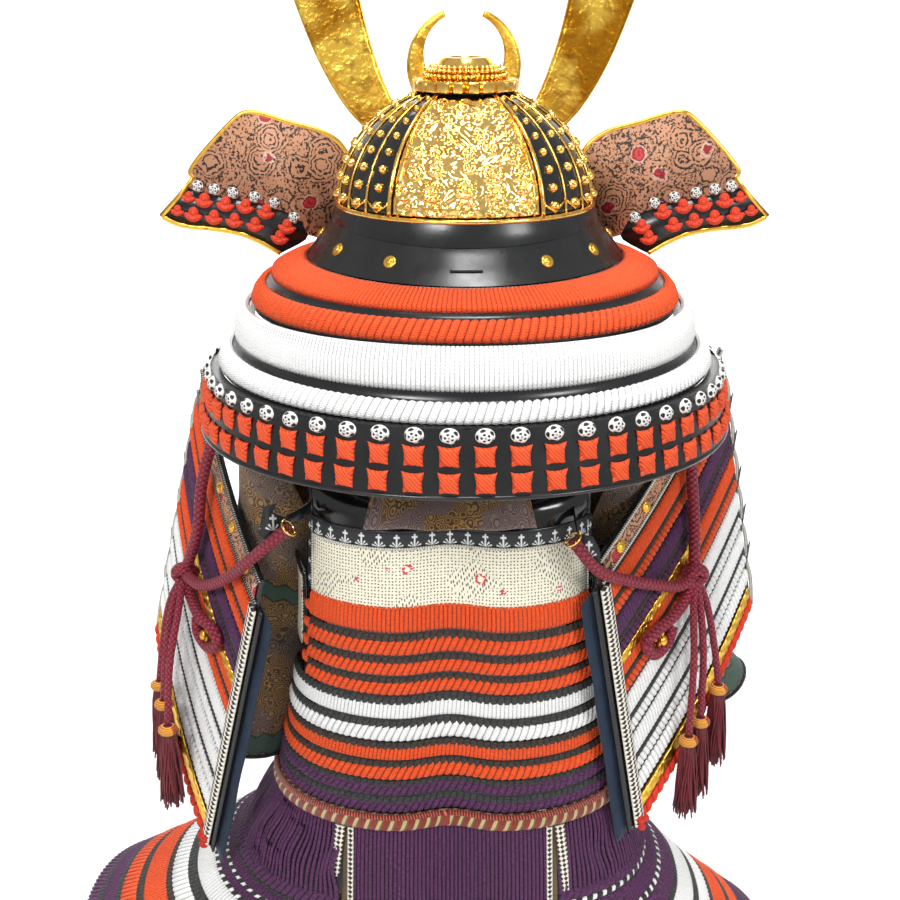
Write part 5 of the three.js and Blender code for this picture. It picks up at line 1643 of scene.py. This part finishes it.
def make_guard_trim(face, side):
    """Checked braid down the rear and front edges, gilt flowers on the cap, a fret over the middle lames,
    red knots at the low corner, and the blue lining behind."""
    t, w = np.meshgrid(np.linspace(0.10, 0.99, 120), np.linspace(0, 1, 9), indexing="ij")
    arch = np.sqrt(np.clip(1 - (2 * w - 1) ** 2, 0, 1))
    outer = face(-0.012 + 0.052 * w, t, 1.2 + 2.6 * arch)
    inner = face(-0.012 + 0.052 * w, t, 0.4 + 0 * w)
    braid = sheet_of(outer, inner, np.linspace(0.1, 0.99, 120) * 233, np.linspace(0, 10, 9))
    piece(f"guard_braid_{side}", outwards(braid), FLAT_CHECKED, f"guard_lame_{side}_1")
    strip = [face(np.full((2, 60), s) + 0 * np.linspace(0, 1, 60), np.linspace(0.085, 0.985, 60),
        np.array([[-1.9], [-0.2]]) + 0 * np.linspace(0, 1, 60)) for s in (-0.045, -0.010)]
    strip = sheet_of(np.stack([strip[0][1], strip[1][1]], 1), np.stack([strip[0][0], strip[1][0]], 1))
    piece(f"guard_back_strip_{side}", outwards(strip), SATIN, f"guard_lame_{side}_1")
    tops = [CAP_LOW] + [low for low, _ in GUARD_LAMES]
    arcs = []
    for high, low in zip(tops[:-1], tops[1:]):
        share = np.linspace(0, 1, 16)
        arcs.append(face(1.0 + 0.022 * np.sin(np.pi * share), high + (low - high) * share, 0.4))
    piece(f"guard_front_cord_{side}", tube(np.concatenate(arcs), 1.5, 8), CHECKED_FINE,
        f"guard_lame_{side}_1")
    make_fret(f"guard_fret_{side}", face, 0.03, 0.60, 0.392, 3.6, f"guard_lame_{side}_3")
    flower = ring_flower(4.6, 10)
    spots = face(np.array([0.12, 0.3, 0.48, 0.66, 0.84]), np.full(5, 0.05), 1.6)
    normals = np.tile(guard_face(side)[1], (5, 1))
    piece(f"cap_flowers_{side}", repeated(*flower, spots, *facing(normals)), SOFT_GOLD, f"guard_cap_{side}")
    corner = face(np.array([0.01, 0.01, 0.035]), np.array([0.975, 1.0, 0.99]), 2.6)
    knots = [tube(corner[k] + np.linspace([-2.5, 0, 3], [2.5, 0, -3], 7),
        3.4 * np.sqrt(np.clip(1.05 - np.linspace(-1, 1, 7) ** 2, 0.02, 1)), 10) for k in range(3)]
    piece(f"guard_corner_knots_{side}", merged(knots), EDGE_RED, f"guard_lame_{side}_6")
    s, t = np.meshgrid(np.linspace(-0.085, 0.9, 40), np.linspace(0.1, 0.99, 40), indexing="ij")
    flare = np.maximum(0, 0.25 - s) * 10
    fold = 0.5 * np.sin(t * 21) * np.clip(1 - s * 8, 0, 1)
    outer = face(s, t, -2.6 - flare + fold)
    cloth = piece(f"lining_{side}", outwards(sheet_of(outer, outer - 1.0 * guard_face(side)[1])), NAVY,
        f"guard_lining_{side}")
    middle = np.array({"left": (-184.0, -26.0, -103.0), "right": (156.5, -43.0, -99.0)}[side])
    normal = guard_face(side)[1]
    stem = middle + normal * np.linspace(-6, 6, 13)[:, None]
    bobbin = tube(stem, np.array([0.6, 3.0, 4.2, 4.0, 2.6, 2.0, 1.8, 2.0, 2.6, 4.0, 4.2, 3.0, 0.6]), 14)
    bar = tube(middle + np.array([0.1, 0, 1.0]) * np.linspace(-11, 11, 9)[:, None],
        np.array([1.4, 2.2, 2.6, 1.7, 1.6, 1.7, 2.6, 2.2, 1.4]), 10)
    piece(f"fitting_{side}", merged([bobbin, bar]), SOFT_GOLD)


def ring_flower(radius, petals):
    """A round boss: a petalled disc that rises to a button."""
    turn = np.arange(petals * 4) / (petals * 4) * TAU
    rows = []
    for share, lift in ((1.0, -0.8), (1.0, 0.5), (0.86, 1.3), (0.6, 1.0), (0.46, 1.2), (0.36, 2.0),
            (0.12, 2.3), (0.02, 2.3)):
        wave = 1 + 0.10 * np.cos(petals * turn) * (share > 0.7)
        rows.append(points_of(radius * share * wave * np.cos(turn), radius * share * wave * np.sin(turn),
            lift))
    return outwards(loft(np.stack(rows)))


# Sleeves

SLEEVES = {"left": [(-128.8, 6, 33, 28.2), (-135, 10, -35, 29), (-145, 7, -90, 28), (-154, 0, -150, 27),
    (-161, -2, -208, 25)], "right": [(126.6, 6, 33, 26), (136, 22, -35, 29), (152, 44, -88, 29),
    (190, 68, -148, 26), (232, 88, -200, 22)], }


def make_sleeves():
    """Sleeves: tubes whose rings follow a curve, with soft folds across them and a scalloped green hem."""
    for side, stations in SLEEVES.items():
        stations = np.array(stations, float)
        inwards = np.sign(stations[0, 0])
        count, sides = 61, 48
        middle = curve_through(stations[:, :3], count)
        ahead = unit(np.gradient(middle, axis=0))
        across = unit(np.cross((0, 1.0, 0), ahead))
        up = unit(np.cross(ahead, across))
        share = np.linspace(0, 1, count)
        radius = np.interp(share * 4, range(5), stations[:, 3])
        turn = np.arange(sides) / sides * TAU
        fold = 0.9 * np.sin(share[:, None] * 34 + 1.3 * np.sin(turn + 0.7)) * np.sin(np.pi
            * share[:, None]) ** 0.5
        dip = 62 * (1 - share[:, None]) ** 4 * np.maximum(0, inwards * np.cos(turn)) ** 2

        full = np.interp(share, [0, 0.3, 0.5, 0.75, 1.0], [0, 1.5, 8, 10, 4])[:, None]
        full = full * np.maximum(0, inwards * np.cos(turn)) ** 2

        def rings(shrink):
            size = (radius[:, None] + fold + full - shrink)[..., None]
            spot = middle[:, None] + size * (np.cos(turn)[:, None] * across[:, None] + np.sin(turn)[:, None]
                * up[:, None])
            return spot - dip[..., None] * (0, 0, 1)
        outer, inner = rings(0.0), rings(1.6)
        loop = np.concatenate([outer, inner[::-1]])
        lengths = np.concatenate([share * 250, share[::-1] * 250, [0]])
        part = outwards(loft(loop, wrap=True, along=lengths, around=np.arange(sides + 1) / sides * 170,
            caps=False))
        cloth = piece(f"sleeve_cloth_{side}", part, SLEEVE_BROCADE, f"sleeve_{side}")
        hem = tube(outer[-1], 1.7, 8, wrap=True)
        tie = [(-117, 31.6, 13), (-109, 31, 23), (-101.3, 27, 24.8)] if side == "left" else [
            (114.6, 28.4, 13), (108, 30, 23), (101.3, 27, 24.8)]
        piece(f"sleeve_hem_{side}", merged([hem, tube(curve_through(tie, 20), 2, 8)]), BLACK_BRAID,
            f"sleeve_{side}")


# Skirt

SKIRT = {
    "rear": {"ends": (-27, 27), "out": (1, 5, 20, 36), "down": (0, 70, 140, 210), "edge": 1.0},
    "right": {"ends": (31, 149), "out": (1, 26, 74, 134), "down": (0, 70, 118, 168), "edge": 0.3},
    "front": {"ends": (153, 207), "out": (1, 5, 20, 36), "down": (0, 70, 140, 210), "edge": 1.0},
    "left": {"ends": (211, 329), "out": (1, 36, 96, 168), "down": (0, 58, 92, 130), "edge": 0.3},
}


def on_skirt(panel, turn, share, out=0.0):
    """A point on a skirt panel: it swings out from the waist and drops, and less so towards its rear
    edge."""
    first, last = np.radians(panel["ends"])
    swing = np.interp(share, np.arange(4) / 3, panel["out"])
    drop = np.interp(share, np.arange(4) / 3, panel["down"])
    away = np.abs(turn - (first + last) / 2) / ((last - first) / 2)
    eased = swing * (1 - (1 - panel["edge"]) * away ** 2)
    start = on_body(turn, -226.2, -0.6)
    outward = unit(on_body(turn, -219.5, 12.0) - on_body(turn, -219.5, 2.0))
    fall = np.sqrt(np.hypot(swing, drop) ** 2 - eased ** 2)
    return start + outward * (eased + out)[..., None] - fall[..., None] * np.array([0, 0, 1.0])


# Rows of each panel: where a row starts and ends as shares of the way down, its style and its cords
SIDE_ROWS = {"left": [(0.285, 0.337, "twisted", "purple"), (0.345, 0.383, "smooth", "purple"),
    (0.398, 0.428, "smooth", "purple"), (0.448, 0.530, "smooth", "white"),
    (0.572, 0.645, "twisted", "white"), (0.670, 0.760, "smooth", "orange"),
    (0.785, 0.850, "twisted", "orange"), (0.870, 0.930, "smooth", "purple"),
    (0.945, 0.992, "twisted", "purple")], "right": [(0.250, 0.290, "twisted", "purple"),
    (0.312, 0.395, "smooth", "purple"), (0.415, 0.490, "twisted", "purple"),
    (0.510, 0.610, "smooth", "white"), (0.640, 0.700, "twisted", "white"),
    (0.720, 0.800, "smooth", "orange"), (0.820, 0.870, "twisted", "orange"),
    (0.885, 0.940, "smooth", "purple"), (0.955, 0.992, "twisted", "purple")],
    "rear": [(0.335, 0.47, "smooth", "purple"), (0.49, 0.56, "twisted", "purple"),
    (0.58, 0.70, "smooth", "white"), (0.72, 0.78, "twisted", "white"), (0.80, 0.90, "smooth", "orange"),
    (0.92, 0.99, "twisted", "orange")], }
SIDE_ROWS["front"] = SIDE_ROWS["rear"]
CHECK_STRIPS = {"left": [(0.383, 0.398), (0.428, 0.448)], "right": [(0.290, 0.312), (0.395, 0.415)]}


def make_skirt():
    for name, panel in SKIRT.items():
        first, last = np.radians(panel["ends"])
        rows = SIDE_ROWS[name]
        start = rows[0][0]

        def band(a, b, lift=0.4, inset=0.0):
            def base(u, v, out):
                turn = first + inset + (last - first - 2 * inset) * u
                return on_skirt(panel, turn, a + (b - a) * v, out + lift)
            return base
        wall = shell(band(start, 0.994, 0.0), 80 if panel["edge"] < 1 else 40, 20, 2.2)
        piece(f"panel_wall_{name}", outwards(wall), SATIN, f"panel_{name}", sharp=50)
        for k, (top, low, style, colour) in enumerate(rows):
            cords, dark = TORSO_CORDS[colour]
            pitch, height, slant, plump = (3.2, 2.2, 0.0, 8) if style == "smooth" else (5.4, 3.0, -0.95, 3)
            part = lacing(band(top, low), pitch, height, slant=slant, rows=5, plump=plump, notch=0.06,
                long=14)
            piece(f"panel_row_{name}_{k + 1}", outwards(part), cords, f"panel_{name}")
            if k and (low_before + 0.006 < top) and not any(abs(a - low_before) < 0.004 for a,
                    b in CHECK_STRIPS.get(name, [])):
                strip = lacing(band(low_before - 0.004, top + 0.004), 4.4, 1.6, slant=-0.5, rows=4, plump=3,
                    notch=0.1, long=6)
                piece(f"panel_strip_{name}_{k + 1}", outwards(strip), dark, f"panel_{name}")
            low_before = low
        for k, (a, b) in enumerate(CHECK_STRIPS.get(name, [])):
            strip = lacing(band(a, b), 4.6, 1.5, slant=-0.4, rows=4, plump=3, notch=0.05, long=6)
            piece(f"panel_checks_{name}_{k + 1}", outwards(strip), ALTERNATE, f"panel_{name}")
        make_curtain(name, panel, first, last, start)
    make_hangers()


def make_curtain(name, panel, first, last, foot):
    """The cords that hang a panel from the waist: side by side, each with a slow sway of its own, and thin
    enough for gaps to show at the sides. A near-black sheet of painted shade lies behind them and shows
    through the gaps."""
    rng = np.random.default_rng(SEED + len(name))
    probe = on_skirt(panel, np.linspace(first, last, 300), np.full(300, foot / 2))
    arc = np.concatenate([[0], np.cumsum(np.linalg.norm(np.diff(probe, axis=0), axis=1))])
    pitch = 3.0 if panel["edge"] == 1 else 3.6
    count = int(arc[-1] / pitch)
    share = (np.arange(count) + 0.5) / count
    turns = np.interp(share * arc[-1], arc, np.linspace(first, last, 300))
    down = np.linspace(-0.02, foot + 0.012, 20)
    loose = 0.0 if panel["edge"] == 1 else 1.0
    slow = np.interp(np.arange(count), np.linspace(0, count, 14), rng.uniform(-1, 1, 14))
    cords = []
    for k in range(count):
        bell = np.sin(np.pi * np.clip(down / foot, 0, 1))
        sway = loose * slow[k] * 0.045 * bell * np.sin(down / foot * 5 + slow[k] * 2)
        lift = 0.5 + (1.0 + 2.2 * loose * abs(slow[k])) * bell * (0.4 + 0.6 * ((k * 7) % 5) / 5)
        path = on_skirt(panel, turns[k] + sway, np.clip(down, 0, 1), lift)
        path[:, 2] += np.where(down < 0, 3.0, 0)
        part = tube(path, 1.45, 6)
        maps = [np.stack([m[..., 1] * 0 + k + 0.5 + 0.45 * (m[..., 1] - 0.5), m[..., 0]], -1)
            for m in part[2]]
        cords.append((part[0], part[1], maps))
    # painted shade: a near-black sheet behind the cords fills the gaps between them
    wall = shell(lambda u, v, out: on_skirt(panel, first + (last - first) * u, foot * v * 0.99, out), 60, 8,
        2.2)
    piece(f"curtain_shade_backing_{name}", outwards(wall), SHADE_BACKING, f"curtain_{name}")
    piece(f"curtain_cords_{name}", merged(cords), PURPLE, f"curtain_{name}")


def make_hangers():
    """Flat checked braids that hang from the rope on each side of the rear panel, with leather between
    them."""
    panel = SKIRT["rear"]
    parts, straps = [], []
    for side in (-1, 1):
        for start, end, half in ((31.5, 36.5, 4.2), (27.4, 27.2, 2.4)):
            share = np.linspace(0, 0.46, 40)
            turn = np.radians(side * np.linspace(start, end, 40))
            centre = on_skirt(panel, turn, share, 3.4)
            across = unit(on_skirt(panel, turn + 0.02, share, 3.4) - centre)
            t = np.linspace(-1, 1, 7)[None, :, None]
            outer = centre[:, None] + across[:, None] * t * half
            outer[..., 1] -= 1.3 * (1 - t[..., 0] ** 2)
            inner = centre[:, None] + across[:, None] * t * half + (0, 1.2, 0)
            parts.append(outwards(sheet_of(outer, inner, share * 210, np.linspace(-1, 1, 7) * half)))
        share = np.linspace(0, 0.46, 20)[:, None]
        turn = np.radians(side * np.linspace(27.5, 34.0, 8))[None]
        outer = on_skirt(panel, turn + 0 * share, share + 0 * turn, 1.0 + 0 * share * turn)
        straps.append(outwards(sheet_of(outer, outer + (0, 1.2, 0))))
    piece("hanger_braids", merged([flip_maps(p) for p in parts]), FLAT_CHECKED)
    piece("hanger_leather", merged(straps), HANGER_LEATHER)


def flat_checked():
    """A flat braid of black and cream cord: a check that runs aslant, in millimetres across and along."""
    made, shader = finish("flat checked braid", (0.80, 0.74, 0.62), 0.7, sheen=0.15)
    _, x, y = pattern()
    a = sine((x + y) * 0.8)
    b = sine((x - y) * 0.8)
    wave = a * b
    coloured(shader, blend(limits(wave, -0.15, 0.1), (0.02, 0.014, 0.012), (0.82, 0.77, 0.66)))
    bumped(shader, abs(wave), 0.0008, 0.8)
    return made


def alternate_cords():
    """Lacing in which groups of cords change between black and white."""
    made, shader = finish("black and white lacing", (0.8, 0.8, 0.78), 0.7, sheen=0.15)
    _, count, _ = pattern()
    group = sine(count * 3.3)
    coloured(shader, blend(limits(group, 0.25, 0.4), (0.014, 0.013, 0.013), (0.80, 0.80, 0.78)))
    side = abs(fraction(count) - 0.5)
    bumped(shader, side * -1.0, 0.0005, 0.7)
    return made


def twisted_red():
    """Thin cord of dark red thread, with fine turns of orange."""
    made, shader = finish("red twist", (0.25, 0.012, 0.02), 0.55, sheen=0.2)
    _, along, around = pattern()
    turns = sine(maths("MULTIPLY_ADD", along, 2.9, around * 6.283))
    coloured(shader, blend(limits(turns, 0.1, 0.6), (0.10, 0.004, 0.01), (0.62, 0.10, 0.03)))
    bumped(shader, turns, 0.0006, 0.8)
    return made


def sleeve_brocade():
    """Brown and gold brocade with green bands whose edge is a row of points. The first number runs down."""
    made, shader = finish("sleeve brocade", (0.35, 0.18, 0.05), 0.6, sheen=0.2)
    vector, down, around = pattern()
    bend = noise(vector, 0.05, 2, output=1)
    curled = blend(3.0, vector, bend, "ADD")
    far = cells(curled, 0.15)
    lines = sine(far * 30.0)
    tone = blend(limits(lines, -0.1, 0.35), (0.055, 0.028, 0.012), (0.36, 0.19, 0.045))
    zone = limits(noise(vector, 0.022, 1), 0.5, 0.54)
    tone = blend(zone, tone, blend(limits(lines, 0.0, 0.5), (0.07, 0.045, 0.035), (0.24, 0.15, 0.10)))
    point = abs(fraction(around / 14.0) - 0.5) * 9.0
    place_down = down + point
    for middle, half in ((105.0, 7.0), (241.0, 9.0)):
        band = limits(abs(place_down - middle), half, half + 0.4, 1.0, 0.0)
        line = limits(abs(abs(place_down - middle) - half), 0.6, 1.0, 1.0, 0.0)
        tone = blend(band, tone, (0.035, 0.085, 0.055))
        tone = blend(line, tone, (0.006, 0.006, 0.006))
    threads = sine(down * 9.0)
    coloured(shader, tone)
    bumped(shader, threads + lines * 2.0, 0.0003, 0.6)
    return made


CHECKED_FINE = checked_braid("fine black and white braid", (0.75, 0.72, 0.62), (0.012, 0.010, 0.010), 1.9)
FLAT_CHECKED = flat_checked()
ALTERNATE = alternate_cords()
ROPE_TWIST = twisted_red()
SLEEVE_BROCADE = sleeve_brocade()
HANGER_LEATHER = plain_cloth("hanger leather", (0.16, 0.11, 0.06))
make_turnbacks()
make_horns()
make_crescent()
make_torso()
make_straps()
make_neck_pad()
make_tabs()
make_armpit_plates()
make_guards()
make_sleeves()
make_skirt()


# Stage and light

def make_stage():
    """A pale floor that curves up into a backdrop."""
    floor_z = -445.0
    y = np.array([-6000, -2500, 0, 1500, 2400, 3000, 3300, 3400, 3400.0])
    z = np.array([0, 0, 0, 0, 60, 300, 800, 1800, 5000.0]) + floor_z
    smooth = curve_through(points_of(0 * y, y, z), 80)
    rows = np.stack([smooth + (x, 0, 0) for x in (-9000.0, 9000.0)], 1)
    lower = rows - (0, 0, 10.0)
    floor = piece("floor", outwards(sheet_of(rows, lower)), FLOOR)


def light(name, kind, location, target, power, size=1.0, colour=(1, 1, 1)):
    data = bpy.data.lights.new(name, kind)
    data.energy = power
    data.color = colour
    if kind == "AREA":
        data.shape = "RECTANGLE"
        data.size = size
        data.size_y = size * 0.8
    made = bpy.data.objects.new(name, data)
    made.location = location
    direction = np.array(target, float) - np.array(location, float)
    flat = math.hypot(direction[0], direction[1])
    made.rotation_euler = (math.atan2(flat, -direction[2]), 0, math.atan2(-direction[0], direction[1]))
    bpy.context.collection.objects.link(made)


FLOOR, floor_shader = finish("pale floor", (0.84, 0.84, 0.84), 0.85)
tone = limits(noise(place(), 3, 2), 0.3, 0.7)
put(floor_shader.inputs["Base Color"], blend(tone, (0.82, 0.82, 0.82), (0.86, 0.86, 0.86)))
make_stage()
WORLD_STRENGTH = 0.62
world = bpy.data.worlds.new("studio")
world.use_nodes = True
Drawing.tree = world.node_tree
background = world.node_tree.nodes["Background"]
direction = added("ShaderNodeTexCoord").outputs["Generated"]
parts_of_direction = added("ShaderNodeSeparateXYZ")
put(parts_of_direction.inputs[0], Value(direction))
high = limits(Value(parts_of_direction.outputs[2]), -0.25, 0.02)
put(background.inputs[0], blend(high, (0.10, 0.10, 0.10), (0.85, 0.85, 0.86)))
background.inputs[1].default_value = WORLD_STRENGTH
bpy.context.scene.world = world
light("key", "AREA", (-0.8, -1.7, 1.25), (0, 0, 0), 25, 0.6)
light("fill", "AREA", (1.4, -1.4, 0.9), (0, 0, 0), 15, 0.6)
light("top", "AREA", (0.1, -0.45, 1.8), (0, 0, 0), 17, 0.6)
light("backdrop", "AREA", (0, 2.0, 2.4), (0, 3.3, 0.4), 130, 2.0)
